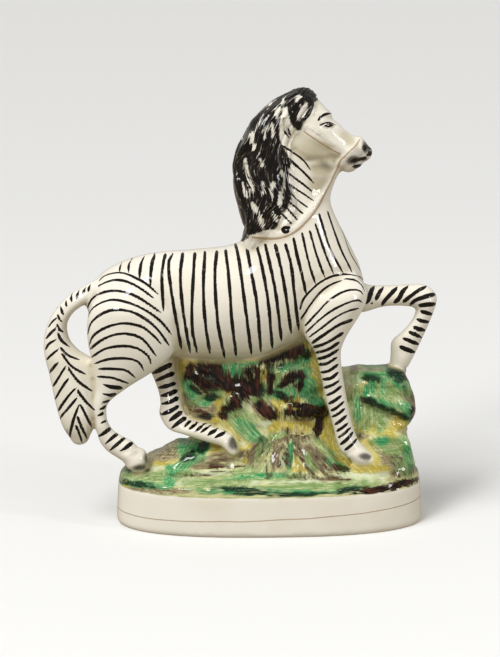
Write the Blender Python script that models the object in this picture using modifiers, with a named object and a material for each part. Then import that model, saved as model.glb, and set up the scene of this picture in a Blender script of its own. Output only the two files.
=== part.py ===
"""A prancing zebra on a rocky oval plinth, moulded and fired as one piece of glazed earthenware.

The zebra faces +X and its near side faces -Y. The origin is the centre of the plinth's underside.
"""

import math

import bmesh
import bpy
import numpy as np
from mathutils import Matrix, Vector, noise
from mathutils.bvhtree import BVHTree

# Driving dimensions, in metres
FIGURE_HEIGHT = 0.2000  # from the plinth's top edge to the poll
PLINTH_LENGTH = 0.1530
PLINTH_DEPTH = 0.0720
PLINTH_HEIGHT = 0.0204  # the white band, up to the painted turf
PLINTH_TAPER = 0.0010  # how far the band draws in from its foot to its top
FOOT_ROUNDING = 0.0018
PLINTH_SQUARENESS = 2.5  # 2 is an ellipse, more is nearer a rectangle

# Modelling settings
DESIGN_HEIGHT = 200.0  # the figure's points below are drawn at this height, in millimetres
MM = FIGURE_HEIGHT / DESIGN_HEIGHT
CLAY_GRAIN = 0.0011  # voxel size at which the forms are pressed into one body
SOFTENING_PASSES = 3
TRIANGLES = 9900
CUT_DEPTH = 0.004  # how far the forms run below the underside before it is cut flat
RING_SIDES = 28
STEPS_BETWEEN_RIBS = 5
DOME_RINGS = 4
STRAND_SIDES = 10

GLAZE_COLOUR = (0.86, 0.83, 0.74, 1.0)
GLAZE_ROUGHNESS = 0.18

# A rib is one oval section of a limb: (x1, z1, x2, z2, y, half), in millimetres of the design.
# Its long axis joins two points of the outline, as seen from the side, x along and z up from the
# plinth's top. y is how far it lies from the middle plane, and half is half its thickness along Y.
TRUNK = (
    (-85.7, 99, -86, 79, 0, 9),
    (-83, 105, -82, 68, 0, 16),
    (-75, 110, -74, 64, 0, 19.5),
    (-64, 114, -63, 63, 0, 21),
    (-52, 116, -51, 63.5, 0, 21),
    (-37, 117, -37, 62.5, 0, 21.5),
    (-22, 118.5, -21, 61.5, 0, 22.5),
    (-13.5, 121, -5.5, 62.5, 0, 23),
    (-11.5, 124, 10, 69, 0, 22.5),
    (-11, 128.5, 25, 75.5, 0, 22),
    (-12, 135, 39, 84.5, 0, 21),
    (-14, 142.5, 46.5, 95, 0, 19.5),
    (-15.5, 149.5, 45, 106.5, 0, 17.5),
    (-16, 156.5, 40, 118, 0, 15.5),
    (-15, 163, 35, 128, 0, 14),
    (-12, 170, 31, 136.5, 0, 12.5),
    (-8.5, 178, 29, 143, 0, 11.5),
    (-3.5, 185, 31, 149.5, 0, 10.5),
    (2, 190, 33.5, 155, 0, 9.5),
    (8, 193, 34, 160, 0, 8.5),
)
HEAD = (
    (8, 191.5, 7, 178, 0, 7),
    (12, 194.3, 9.5, 170.5, 0, 9.5),
    (17.5, 194.6, 15, 166, 0, 10.5),
    (23.3, 191.2, 20.5, 165.2, 0, 10.5),
    (28, 186.2, 25.5, 164, 0, 9.5),
    (33, 180, 30, 161, 0, 8.5),
    (38.2, 174.9, 34.5, 156.8, 0, 7.5),
    (43, 172.6, 38.5, 155, 0, 7),
    (46.3, 170.8, 42, 156.6, 0, 6.8),
    (48.2, 167.5, 45.3, 160, 0, 5.5),
)
THROAT = (
    (12, 168, 38.5, 165, 0, 6),
    (12, 160, 35.5, 157.5, 0, 5.5),
    (12, 152, 32, 150.5, 0, 6),
    (12, 144, 29.8, 143, 0, 7.5),
    (12, 137, 30.5, 137, 0, 9),
)
MANE = (
    (12, 195.4, 21, 188, 0, 9.5),
    (4.7, 192.3, 14, 180, 0, 11.5),
    (-3, 187.2, 9.5, 172, 0, 12.8),
    (-9, 180, 9, 163.5, 0, 14),
    (-13, 172, 10, 155.5, 0, 15),
    (-15.5, 164, 11.5, 148.5, 0, 16),
    (-17.3, 156.5, 12.5, 141.5, 0, 17),
    (-17.4, 148.3, 12.5, 135.5, 0, 18),
    (-16, 141, 9.5, 130.5, 0, 18.5),
    (-14, 133.5, 4, 126.5, 0, 18),
    (-12, 127.5, -2, 123, 0, 16.5),
)
NEAR_HIND_LEG = (
    (-80, 99, -57, 101, -8, 8),
    (-87.5, 92, -49.5, 91, -10, 12),
    (-90, 82, -45.5, 79, -11, 13),
    (-89.5, 71.5, -47.5, 68, -11, 12.5),
    (-87.5, 61, -57, 59, -11, 10.5),
    (-86, 50.5, -71, 50, -11, 8),
    (-87, 42, -80, 42.5, -11, 6),
    (-86.5, 33.5, -80.5, 33.5, -11, 5.5),
    (-84.5, 24.5, -76, 28.5, -11, 5.5),
    (-80, 18, -70.5, 25, -11.5, 5.5),
    (-75.5, 15, -65.5, 21, -12, 6),
    (-72.5, 11, -60.5, 16.5, -12, 7),
    (-71.5, 8, -59.5, 10.5, -12, 7.5),
)
FAR_HIND_LEG = (
    (-66, 67, -42.5, 68, 9, 12),
    (-60, 56, -45.5, 58, 7, 9),
    (-55.8, 46, -45, 48.5, 4, 6.5),
    (-54.2, 39.5, -44.5, 41.5, 0, 6),
    (-54.5, 33.5, -43.5, 37.5, -3, 6),
    (-50.5, 28.2, -39.5, 35.2, -6.5, 5.5),
    (-42.5, 26.8, -35, 34.3, -10, 5),
    (-33, 24.8, -28.5, 32.3, -12.5, 5),
    (-25, 23, -22, 30, -14, 5),
    (-21.8, 20.7, -17.8, 27.3, -15, 5.5),
    (-19.5, 18.7, -15.3, 23.2, -16, 5),
)
NEAR_FORELEG = (
    (24.5, 102, 43, 104.5, -10, 7),
    (16.5, 95, 48, 98, -11.5, 11),
    (14.5, 86.5, 45.5, 89, -12.5, 11.5),
    (16.5, 76.5, 37.5, 76.5, -13, 10.5),
    (21.5, 68, 34.5, 68, -13.5, 8.5),
    (24.5, 57, 35.5, 57.5, -14, 7),
    (28.5, 43, 37.8, 44, -15, 6.5),
    (32.3, 31.5, 41, 33, -16, 6),
    (36, 22, 44.5, 26, -17, 6),
    (39.5, 16.5, 49.5, 20, -18, 6.3),
    (43.5, 12.5, 52.5, 15, -19, 6.3),
)
RAISED_FORELEG = (
    (37.5, 104, 36.5, 80.5, 6, 10),
    (49, 97.3, 48, 83.5, 7, 8),
    (58.5, 96.3, 58, 86, 8, 6.5),
    (68.5, 96.8, 69, 86, 8, 6),
    (77.5, 96.7, 73, 84.5, 8, 6),
    (83.3, 91.5, 73, 82, 8, 6),
    (82.5, 84, 71, 77.7, 8, 5.8),
    (78.5, 73.5, 66.5, 72.5, 8, 5.5),
    (74.5, 64.5, 61.5, 68, 8, 5.5),
    (71.7, 58.5, 61, 61, 8, 5.5),
    (69.3, 54, 60.5, 55, 8, 6),
    (68, 48.5, 60.5, 49, 8, 6),
)
TAIL = (
    (-83, 104, -81, 95.5, -2, 6),
    (-91.5, 99.5, -87.5, 92.5, -2, 5),
    (-99, 95, -94, 88.5, -2, 5.2),
    (-105, 88.5, -97.8, 85, -2, 5.6),
    (-109.5, 81, -100, 79.5, -2, 6),
    (-111.5, 72, -98.5, 72.5, -3, 7),
    (-111, 64, -93.5, 67, -4, 8),
    (-109.5, 57.5, -87, 62.5, -4.5, 8.5),
    (-108, 50, -84.5, 54.5, -5, 9),
    (-106.5, 42.5, -84, 45, -5.5, 9),
    (-104.5, 34.5, -85, 36.5, -6, 9),
    (-102.2, 28, -87, 29, -6, 8),
    (-99, 23, -89.5, 24, -6, 6),
)

# A rock is a stack of levels: (z, left, right, front, back), in millimetres of the design
CENTRAL_ROCK = (
    (74, -32, 22, -5, 9),
    (62, -43.5, 28, -7, 12),
    (50, -44.5, 32, -8, 14),
    (38, -43.5, 35, -9, 16),
    (24, -40, 38, -11, 19),
    (12, -42, 42, -18, 23),
    (0, -46, 48, -26, 27),
    (-8, -46, 48, -26, 27),
)
RIGHT_ROCK = (
    (55.5, 36, 64.5, -4, 11),
    (53.5, 34, 67.5, -7, 13),
    (48, 33, 69.5, -9, 15),
    (37, 33, 73, -11, 17),
    (30, 33, 72.5, -11, 17),
    (24, 34, 68.5, -12, 17),
    (15, 36, 71, -19, 20),
    (7, 36, 72.5, -24, 24),
    (-8, 36, 72.5, -24, 24),
)
LEFT_MOUND = (
    (19, -46, -30, -5, 9),
    (15, -54, -18, -10, 14),
    (9.5, -64, -8, -17, 20),
    (4, -70, 0, -24, 25),
    (-8, -72, 4, -26, 27),
)

# Boulders that stand out of the rocks, on the near side and, where the last value is 1, on the far
# side too: (x, z, half length, half height, how far it stands out, leaning in degrees, far side)
BOULDERS = (
    (-36, 59, 9, 7, 2.0, -35, 1),
    (-27, 49, 13, 6, 2.5, -25, 0),
    (-15, 42, 10, 7, 2.5, 60, 1),
    (-8, 58, 9, 8, 2.0, 0, 0),
    (8, 66, 14, 7, 2.5, 20, 1),
    (12, 52, 14, 9, 2.5, -10, 1),
    (15, 37.5, 13, 6.5, 3.5, 0, 1),
    (-6, 33, 12, 7, 2.0, 15, 0),
    (-30, 34, 10, 8, 1.5, 20, 1),
    (54, 48, 14, 6, 1.5, 0, 1),
    (56, 40, 16, 6, 2.5, -14, 0),
    (43, 34, 8, 9, 1.5, 30, 1),
    (58, 20, 13, 8, 2.5, -10, 1),
    (50, 10, 12, 6, 1.5, 0, 0),
    (-38, 11, 16, 6, 2.0, 18, 0),
)

# Clay laid along the surface on both sides: rows of (x, z, radius), in millimetres of the design
REIN = (
    (37.7, 166.5, 1.7),
    (34.2, 160.5, 1.8),
    (31.2, 155.6, 1.8),
    (28.3, 149.9, 1.8),
    (24.7, 144.9, 1.8),
    (20.9, 140.5, 1.8),
    (15.8, 134.9, 1.8),
    (10.8, 130.4, 1.8),
    (5.8, 128.2, 1.8),
    (-0.4, 127.0, 1.8),
    (-7.6, 127.5, 1.8),
    (-11.5, 128.2, 1.5),
)
CHEEK_STRAP = ((16.7, 182.5, 1.3), (22.5, 178.0, 1.3), (28.4, 174.0, 1.3), (37.2, 167.6, 1.4))
NOSEBAND = ((43.2, 171.8, 1.3), (41.8, 170.6, 1.4), (38.6, 167.2, 1.4), (36, 158, 1.4))
EAR = ((6.8, 190.5, 0.8), (6, 185, 2.3), (6.5, 179, 2.5), (8.5, 174, 1.4))
FORELOCKS = (
    ((12.5, 194, 1.8), (15.2, 190, 2.2), (15, 184, 1.9), (16.5, 179, 0.9)),
    ((16.5, 193.5, 1.8), (19.8, 190.5, 2), (20, 185.5, 0.9)),
    ((8.5, 192, 1.8), (10, 188, 2.2), (11, 183, 1.8), (13, 176.5, 0.9)),
)
MANE_LOCKS = 5  # on each side, from the crest forwards
LOCK_RADIUS = 2.5
STUMP_TOP = (12.5, -12.0, 23.5)
STUMP_ROOTS = 6
ROOT_RADIUS = 4.0

# The turf that rounds over the plinth's rim: (height over the white band, how far it draws in)
TURF = ((0.0, 2.2), (1.6, 1.4), (4.0, 2.2), (6.6, 6.0), (8.4, 13.0), (9.0, 24.0))


def ribs_smoothed(ribs, steps=STEPS_BETWEEN_RIBS):
    """The ribs with more between them, on Catmull-Rom curves through every value."""
    knots = np.array(ribs, float)
    before = np.vstack([2 * knots[0] - knots[1], knots, 2 * knots[-1] - knots[-2]])
    made = []
    for i in range(1, len(before) - 2):
        a, b, c, d = before[i - 1 : i + 3]
        for k in range(steps):
            t = k / steps
            made.append(
                b
                + 0.5 * t * (c - a)
                + 0.5 * t**2 * (2 * a - 5 * b + 4 * c - d)
                + 0.5 * t**3 * (3 * b - a - 3 * c + d)
            )
    made.append(knots[-1])
    return made


def rib_ring(rib):
    """The points of one oval section, in metres, at the height of the plinth's top."""
    x1, z1, x2, z2, y, half = rib
    centre = np.array([(x1 + x2) / 2, y, (z1 + z2) / 2])
    reach = np.array([(x1 - x2) / 2, 0, (z1 - z2) / 2])
    turn = np.linspace(0, 2 * math.pi, RING_SIDES, endpoint=False)[:, None]
    ring = centre + np.cos(turn) * reach + np.sin(turn) * np.array([0, half, 0])
    return ring * MM + np.array([0, 0, PLINTH_HEIGHT])


def domed(rings, dome):
    """The rings with a rounded end added beyond the first and the last, dome times the end's radius long."""
    for end, inner in ((0, 1), (-1, -2)):
        ring = rings[end]
        centre = ring.mean(axis=0)
        out = centre - rings[inner].mean(axis=0)
        out = out / np.linalg.norm(out)
        radius = np.abs(ring - centre).max() * dome
        caps = []
        for k in range(1, DOME_RINGS + 1):
            angle = 0.5 * math.pi * k / (DOME_RINGS + 0.5)
            caps.append(centre + (ring - centre) * math.cos(angle) + out * radius * math.sin(angle))
        rings = caps[::-1] + rings if end == 0 else rings + caps
    return rings


def add_loft(body, rings):
    """Joins closed rings of equal length into one closed skin, capped at both ends."""
    rows = [[body.verts.new(Vector(p)) for p in ring] for ring in rings]
    sides = len(rows[0])
    faces = [
        body.faces.new((low[i], low[(i + 1) % sides], high[(i + 1) % sides], high[i]))
        for low, high in zip(rows, rows[1:])
        for i in range(sides)
    ]
    faces.append(body.faces.new(rows[0][::-1]))
    faces.append(body.faces.new(rows[-1]))
    bmesh.ops.recalc_face_normals(body, faces=faces)


def add_limb(body, ribs, dome=0.6):
    add_loft(body, domed([rib_ring(rib) for rib in ribs_smoothed(ribs)], dome))


def oval(half_x, half_y, z, middle=(0.0, 0.0), sides=2 * RING_SIDES, squareness=PLINTH_SQUARENESS):
    """A closed superellipse at one height."""
    turn = np.linspace(0, 2 * math.pi, sides, endpoint=False)
    x = np.sign(np.cos(turn)) * np.abs(np.cos(turn)) ** (2 / squareness) * half_x
    y = np.sign(np.sin(turn)) * np.abs(np.sin(turn)) ** (2 / squareness) * half_y
    return np.stack([x + middle[0], y + middle[1], np.full(sides, z)], axis=1)


def add_rock(body, levels, roughness=1.2):
    """A rock from its levels, with shallow lumps that are the same each time."""
    rings = []
    for z, left, right, front, back in ribs_smoothed(levels, 4):
        middle = ((left + right) / 2, (front + back) / 2)
        ring = oval((right - left) / 2, (back - front) / 2, z, middle)
        for point in ring:
            lump = noise.noise(Vector(point) * 0.09) + 0.5 * noise.noise(Vector(point) * 0.2)
            outward = point[:2] - np.array(middle)
            point[:2] += outward / max(np.linalg.norm(outward), 1) * lump * roughness
        rings.append(ring * MM + np.array([0, 0, PLINTH_HEIGHT]))
    add_loft(body, rings)


def add_boulder(body, tree, boulder, side):
    """A flattened lump standing out of whatever surface is at its middle."""
    x, z, half_x, half_z, proud, lean, _ = boulder
    y = surface_y(tree, x, z, side)
    made = bmesh.ops.create_icosphere(body, subdivisions=3, radius=1.0)
    turn = Matrix.Rotation(math.radians(-lean), 3, "Y")
    for vert in made["verts"]:
        lump = 1 + 0.16 * noise.noise(vert.co * 1.6 + Vector((x, z, side)))
        sized = Vector((vert.co.x * half_x, vert.co.y * 1.6 * proud, vert.co.z * half_z)) * lump
        vert.co = (turn @ sized + Vector((x, y - side * 0.6 * proud, z))) * MM
        vert.co.z += PLINTH_HEIGHT


def surface_y(tree, x, z, side):
    """The y of the surface at x and z, in millimetres of the design: side -1 is near and 1 is far."""
    start = Vector((x * MM, side * PLINTH_DEPTH, z * MM + PLINTH_HEIGHT))
    hit = tree.ray_cast(start, Vector((0, -side, 0)))[0]
    if hit is None:
        hit = tree.find_nearest(Vector((x * MM, side * MM, z * MM + PLINTH_HEIGHT)))[0]
    return hit.y / MM


def add_tube(body, line, radii):
    """A round-ended tube through points, flattest against the XZ plane."""
    turns = [2 * math.pi * k / STRAND_SIDES for k in range(STRAND_SIDES)]
    rings = []
    for i, (point, radius) in enumerate(zip(line, radii)):
        along = (line[min(i + 1, len(line) - 1)] - line[max(i - 1, 0)]).normalized()
        outward = Vector((0, 1, 0))
        outward = (outward - along * outward.dot(along)).normalized()
        across = along.cross(outward)
        ring = [point + radius * (across * math.cos(a) + outward * math.sin(a)) for a in turns]
        rings.append(np.array(ring) * MM + np.array([0, 0, PLINTH_HEIGHT]))
    add_loft(body, domed(rings, 0.8))


def add_strand(body, tree, path, sink=0.3, sides=(-1, 1)):
    """Clay laid along the surface through rows of (x, z, radius), and pressed on by sink of its radius."""
    rows = [row.tolist() for row in ribs_smoothed(path, 4)]
    for side in sides:
        line = [Vector((x, surface_y(tree, x, z, side) - side * r * sink, z)) for x, z, r in rows]
        add_tube(body, line, [r for _, _, r in rows])


def mane_lock(k):
    """One wavy lock that runs down the mane, the k-th from the crest."""
    across = (k + 0.7) / (MANE_LOCKS + 0.3)
    path = []
    for i, (x1, z1, x2, z2, _, _) in enumerate(MANE):
        down = i / (len(MANE) - 1)
        share = across + 0.09 * math.sin(9.0 * down + 1.9 * k) * (1 - across)
        radius = LOCK_RADIUS * (0.55 + 0.6 * math.sin(math.pi * down) ** 0.5)
        path.append((x1 + (x2 - x1) * share, z1 + (z2 - z1) * share, radius))
    return path[: len(path) - k // 2]


def add_stump_root(body, k):
    """One root that spreads forwards from the stump over the turf, the k-th from the left."""
    spread = k / (STUMP_ROOTS - 1) - 0.45
    x, y, z = STUMP_TOP
    foot_y = y - 16 + 12 * abs(spread)
    path = (
        (x + 12 * spread, y, z, 0.7 * ROOT_RADIUS),
        (x + 20 * spread, 0.65 * y + 0.35 * foot_y, 0.7 * z + 2.5, ROOT_RADIUS),
        (x + 31 * spread, 0.3 * y + 0.7 * foot_y, 0.2 * z + 7, ROOT_RADIUS),
        (x + 41 * spread, foot_y, 7.5, 0.5 * ROOT_RADIUS),
    )
    rows = [row.tolist() for row in ribs_smoothed(path, 4)]
    add_tube(body, [Vector(row[:3]) for row in rows], [row[3] for row in rows])


def add_ground(body):
    """The plinth and rocks, with the boulders and the stump's roots that stand out of them."""
    add_plinth(body)
    for levels in (CENTRAL_ROCK, RIGHT_ROCK, LEFT_MOUND):
        add_rock(body, levels)
    tree = BVHTree.FromBMesh(body)
    for boulder in BOULDERS:
        for side in (-1, 1) if boulder[-1] else (-1,):
            add_boulder(body, tree, boulder, side)
    for k in range(STUMP_ROOTS):
        add_stump_root(body, k)


def add_zebra(body):
    """The animal, with its mane, ears and bridle laid on both sides."""
    for ribs in (TRUNK, HEAD, THROAT, MANE, TAIL):
        add_limb(body, ribs)
    for ribs in (NEAR_HIND_LEG, FAR_HIND_LEG, NEAR_FORELEG, RAISED_FORELEG):
        add_limb(body, ribs)
    tree = BVHTree.FromBMesh(body)
    for k in range(MANE_LOCKS):
        add_strand(body, tree, mane_lock(k))
    for path in (*FORELOCKS, EAR, CHEEK_STRAP, NOSEBAND):
        add_strand(body, tree, path)
    tree = BVHTree.FromBMesh(body)
    add_strand(body, tree, REIN)


def add_plinth(body):
    """The white oval band with its rounded foot, and the turf that rolls over its top."""
    half_x, half_y = PLINTH_LENGTH / 2, PLINTH_DEPTH / 2
    profile = [(-CUT_DEPTH, FOOT_ROUNDING)]
    for k in range(5):
        angle = 0.5 * math.pi * k / 4
        profile.append(
            (FOOT_ROUNDING * (1 - math.cos(angle)), FOOT_ROUNDING * (1 - math.sin(angle)))
        )
    profile.append((PLINTH_HEIGHT - 0.4 * MM, PLINTH_TAPER))
    profile += [(PLINTH_HEIGHT + rise * MM, inset * MM) for rise, inset in TURF]
    add_loft(body, [oval(half_x - inset, half_y - inset, z) for z, inset in profile])


def shaped_body():
    """Every form overlapping in one mesh, before they are pressed together."""
    body = bmesh.new()
    add_ground(body)
    add_zebra(body)
    mesh = bpy.data.meshes.new("zebra_figurine")
    body.to_mesh(mesh)
    body.free()
    return mesh


def triangles_of(obj):
    graph = bpy.context.evaluated_depsgraph_get()
    evaluated = obj.evaluated_get(graph)
    mesh = evaluated.to_mesh()
    mesh.calc_loop_triangles()
    count = len(mesh.loop_triangles)
    evaluated.to_mesh_clear()
    return count


def glaze():
    """Cream lead glaze over white earthenware."""
    material = bpy.data.materials.new("glazed_earthenware")
    material.use_nodes = True
    shader = material.node_tree.nodes["Principled BSDF"]
    shader.inputs["Base Color"].default_value = GLAZE_COLOUR
    shader.inputs["Roughness"].default_value = GLAZE_ROUGHNESS
    return material


def underside_cutter(collection):
    """A slab whose top is the level that the plinth stands on."""
    bpy.ops.mesh.primitive_cube_add(size=1.0)
    slab = bpy.context.object
    slab.name = "underside_cutter"
    slab.scale = (2 * PLINTH_LENGTH, 2 * PLINTH_DEPTH, 4 * CUT_DEPTH)
    slab.location = (0, 0, -2 * CUT_DEPTH)
    for old in slab.users_collection:
        old.objects.unlink(slab)
    collection.objects.link(slab)
    slab.hide_render = True
    slab.display_type = "WIRE"
    return slab


def main():
    for obj in list(bpy.data.objects):
        bpy.data.objects.remove(obj, do_unlink=True)
    parts = bpy.data.collections.new("zebra_figurine")
    cutters = bpy.data.collections.new("cutters")
    for collection in (parts, cutters):
        bpy.context.scene.collection.children.link(collection)

    figure = bpy.data.objects.new("zebra_figurine", shaped_body())
    parts.objects.link(figure)
    figure.data.materials.append(glaze())

    press = figure.modifiers.new("press_together", "REMESH")
    press.mode = "VOXEL"
    press.voxel_size = CLAY_GRAIN
    press.use_smooth_shade = True
    soften = figure.modifiers.new("soften", "SMOOTH")
    soften.iterations = SOFTENING_PASSES
    thin = figure.modifiers.new("thin", "DECIMATE")
    thin.ratio = TRIANGLES / triangles_of(figure)
    cut = figure.modifiers.new("flat_underside", "BOOLEAN")
    cut.object = underside_cutter(cutters)


main()
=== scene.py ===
# %% [markdown]
# A prancing zebra in glazed earthenware, on a rocky oval plinth. The real piece was pressed in a
# two-part mould, fired, painted with a soft brush and fired again under a clear glaze, so it is one
# continuous skin of clay. This lesson rebuilds it in the same order: camera and lights, soft clay
# forms, pressing them together, modelling with a tool, painting, and glazing.
#
# The imported model is loaded first. It fixes where everything stands.

import math

import bmesh
import bpy
import numpy as np
from mathutils import Matrix, Vector, noise
from mathutils.bvhtree import BVHTree
from mathutils.kdtree import KDTree


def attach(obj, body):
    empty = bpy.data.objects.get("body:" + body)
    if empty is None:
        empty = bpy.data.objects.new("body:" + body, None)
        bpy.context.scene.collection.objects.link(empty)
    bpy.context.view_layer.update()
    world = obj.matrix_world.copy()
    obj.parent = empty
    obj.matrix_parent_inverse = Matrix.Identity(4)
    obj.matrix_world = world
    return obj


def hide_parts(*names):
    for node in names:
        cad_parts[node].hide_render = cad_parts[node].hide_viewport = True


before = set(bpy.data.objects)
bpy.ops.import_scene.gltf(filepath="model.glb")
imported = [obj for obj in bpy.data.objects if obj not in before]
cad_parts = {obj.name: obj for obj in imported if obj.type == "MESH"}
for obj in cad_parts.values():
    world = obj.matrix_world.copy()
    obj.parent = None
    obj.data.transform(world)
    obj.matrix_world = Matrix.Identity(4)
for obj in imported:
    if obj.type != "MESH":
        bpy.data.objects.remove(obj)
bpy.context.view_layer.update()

# %% [markdown]
# The photograph was taken with a long lens from a little above, almost square to the zebra's side.
# A camera is set by four things: what it aims at, the direction it looks from, how far away it is,
# and the lens. They were found by laying the outline of the model over the photograph until both
# rims of the plinth and the zebra's back agreed.

# %% Camera
PICTURE_HEIGHT = 657  # pixels, the longer side of the photograph
SENSOR = 36.0  # millimetres along the longer side
AIM = Vector((-0.00965, 0.0, 0.0973))
AROUND, ABOVE = math.radians(-2.0), math.radians(13.5)
DISTANCE = 1.4
PIXELS_PER_METRE = 2020  # of the picture, at the distance of the aim

scene = bpy.context.scene
away = Vector(
    (
        math.sin(AROUND) * math.cos(ABOVE),
        -math.cos(AROUND) * math.cos(ABOVE),
        math.sin(ABOVE),
    )
)
camera = bpy.data.objects.new("camera", bpy.data.cameras.new("camera"))
scene.collection.objects.link(camera)
camera.location = AIM + away * DISTANCE
camera.rotation_euler = away.to_track_quat("Z", "Y").to_euler()
camera.data.sensor_width = SENSOR
camera.data.lens = SENSOR * PIXELS_PER_METRE * DISTANCE / PICTURE_HEIGHT
camera.data.clip_end = 50.0
scene.camera = camera
print("camera at", [round(value, 3) for value in camera.location])
print("lens in mm:", round(camera.data.lens, 1))

# %% [markdown]
# Materials are written as sums. A `Wire` is one output of a shader node, and Python's own operators
# are taught to add the node that does the sum, so `1 - mask` in the text becomes a Math node in the
# material. Vectors go through Vector Math and colours through Mix, because a Math node would turn a
# colour grey. Every other node is added by one method, `make`.

# %% Shader sums
MATHS = {"+": "ADD", "-": "SUBTRACT", "*": "MULTIPLY"}


def socket_called(sockets, name):
    """The socket with a name or an identifier, or with a number counted from 0."""
    if isinstance(name, int):
        return sockets[name]
    return next(socket for socket in sockets if name in (socket.identifier, socket.name))


def is_vector(value):
    return isinstance(value, tuple) or isinstance(value, Wire) and value.output.type == "VECTOR"


class Wire:
    """One output of a node, or the bare tree to start from, with sums that add nodes."""

    def __init__(self, tree, output=None):
        self.tree = tree
        self.output = output

    def make(self, kind, settings=None, inputs=None, output=0):
        """Adds a node: its type, its settings first, then values or links for its sockets."""
        node = self.tree.nodes.new(kind)
        for name, value in (settings or {}).items():
            setattr(node, name, value)
        for name, value in (inputs or {}).items():
            socket = socket_called(node.inputs, name)
            if isinstance(value, Wire):
                self.tree.links.new(value.output, socket)
            else:
                socket.default_value = value
        return Wire(self.tree, socket_called(node.outputs, output))

    def sum(self, sign, left, right):
        """A sum of numbers or of vectors, or a vector times a number."""
        both, settings = {0: left, 1: right}, {"operation": MATHS[sign]}
        vectors = [is_vector(left), is_vector(right)]
        if not any(vectors):
            return self.make("ShaderNodeMath", settings, both)
        if all(vectors):
            return self.make("ShaderNodeVectorMath", settings, both)
        vector, number = (left, right) if vectors[0] else (right, left)
        scaled = {0: vector, "Scale": number}
        return self.make("ShaderNodeVectorMath", {"operation": "SCALE"}, scaled)

    def __add__(self, other):
        return self.sum("+", self, other)

    def __radd__(self, other):
        return self.sum("+", other, self)

    def __sub__(self, other):
        return self.sum("-", self, other)

    def __rsub__(self, other):
        return self.sum("-", other, self)

    def __mul__(self, other):
        return self.sum("*", self, other)

    def __rmul__(self, other):
        return self.sum("*", other, self)

    def __abs__(self):
        return self.make("ShaderNodeMath", {"operation": "ABSOLUTE"}, {0: self})

    def larger(self, other):
        return self.make("ShaderNodeMath", {"operation": "MAXIMUM"}, {0: self, 1: other})

    def rise(self, low, high):
        """0 below low and 1 above high, with a smooth rise between them."""
        return self.make(
            "ShaderNodeMapRange",
            {"interpolation_type": "SMOOTHSTEP"},
            {"Value": self, "From Min": low, "From Max": high},
        )

    def along(self, direction):
        """How far a place lies along a direction."""
        return self.make(
            "ShaderNodeVectorMath", {"operation": "DOT_PRODUCT"}, {0: self, 1: direction}, "Value"
        )

    def mixed(self, colour, share):
        """This colour with a share of another one."""
        return self.make(
            "ShaderNodeMix",
            {"data_type": "RGBA"},
            {"Factor_Float": share, "A_Color": self, "B_Color": colour},
            "Result_Color",
        )

    def mottle(self, scale, detail, roughness):
        """Noise at this place, as a number about 0.5."""
        return self.make(
            "ShaderNodeTexNoise",
            {"noise_dimensions": "3D"},
            {"Vector": self, "Scale": scale, "Detail": detail, "Roughness": roughness},
            "Fac",
        )

    def painted(self, name, output="Fac"):
        """A value that was laid on the mesh under this name."""
        return self.make("ShaderNodeAttribute", {"attribute_name": name}, output=output)

    def parts(self):
        """The three numbers of a vector."""
        split = self.make("ShaderNodeSeparateXYZ", inputs={"Vector": self})
        return [Wire(self.tree, socket) for socket in split.output.node.outputs]


def pigment(red, green, blue):
    """A colour as the eye reads it, 0 to 255, turned into the linear light that a shader needs."""
    return tuple((value / 255) ** 2.2 for value in (red, green, blue)) + (1.0,)


def new_material(name):
    """A material, its main shader and the bare tree to start sums from."""
    material = bpy.data.materials.new(name)
    material.use_nodes = True
    return material, material.node_tree.nodes["Principled BSDF"], Wire(material.node_tree)


# %% [markdown]
# A pottery figure is lit as in a shop window: soft daylight from the upper left, and pale air all
# round that is a little darker and warmer below. A sun with a wide disc gives that light without
# growing weaker over the floor, and it is hidden from the gloss. Two panels are made to be seen in
# the glaze: a square window high at the left, and a tall narrow light at the right, which draws the
# bright upright line on the chest. The floor is plain and matt. It catches the shadow, but it is
# hidden from the figure's own light and gloss, or so pale a floor would wash out the underside.

# %% Floor and lights
FLOOR_GREY = 0.88
AIR_ABOVE = (0.42, 0.415, 0.405)
AIR_BELOW = (0.35, 0.305, 0.24)


def add_light(name, kind, place, power, size=(1.0, 1.0)):
    """A light turned to the figure. A sun's size is the width of its disc, in degrees."""
    light = bpy.data.lights.new(name, kind)
    light.energy = power
    if kind == "AREA":
        light.shape = "RECTANGLE"
        light.size, light.size_y = size
    else:
        light.angle = math.radians(size[0])
    lamp = bpy.data.objects.new(name, light)
    scene.collection.objects.link(lamp)
    lamp.location = place
    lamp.rotation_euler = (Vector(place) - AIM).to_track_quat("Z", "Y").to_euler()
    return lamp


floor_mesh = bpy.data.meshes.new("floor")
floor_mesh.from_pydata([(-6, -6, 0), (6, -6, 0), (6, 6, 0), (-6, 6, 0)], [], [(0, 1, 2, 3)])
floor = bpy.data.objects.new("floor", floor_mesh)
scene.collection.objects.link(floor)
material, shader, start = new_material("floor_paper")
shader.inputs["Base Color"].default_value = (FLOOR_GREY, FLOOR_GREY, 0.99 * FLOOR_GREY, 1)
shader.inputs["Roughness"].default_value = 0.9
shader.inputs["Specular IOR Level"].default_value = 0.1
floor_mesh.materials.append(material)
floor.visible_diffuse = floor.visible_glossy = False

world = bpy.data.worlds.new("studio_air")
world.use_nodes = True
scene.world = world
backdrop = world.node_tree.nodes["Background"]
direction = Wire(world.node_tree).make("ShaderNodeTexCoord", output="Generated")
air = direction.make("ShaderNodeRGB")
air.output.default_value = (*AIR_BELOW, 1)
air = air.mixed((*AIR_ABOVE, 1), direction.parts()[2].rise(-0.4, 0.5))
world.node_tree.links.new(air.output, backdrop.inputs["Color"])
scene.view_settings.view_transform = "Standard"

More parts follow.
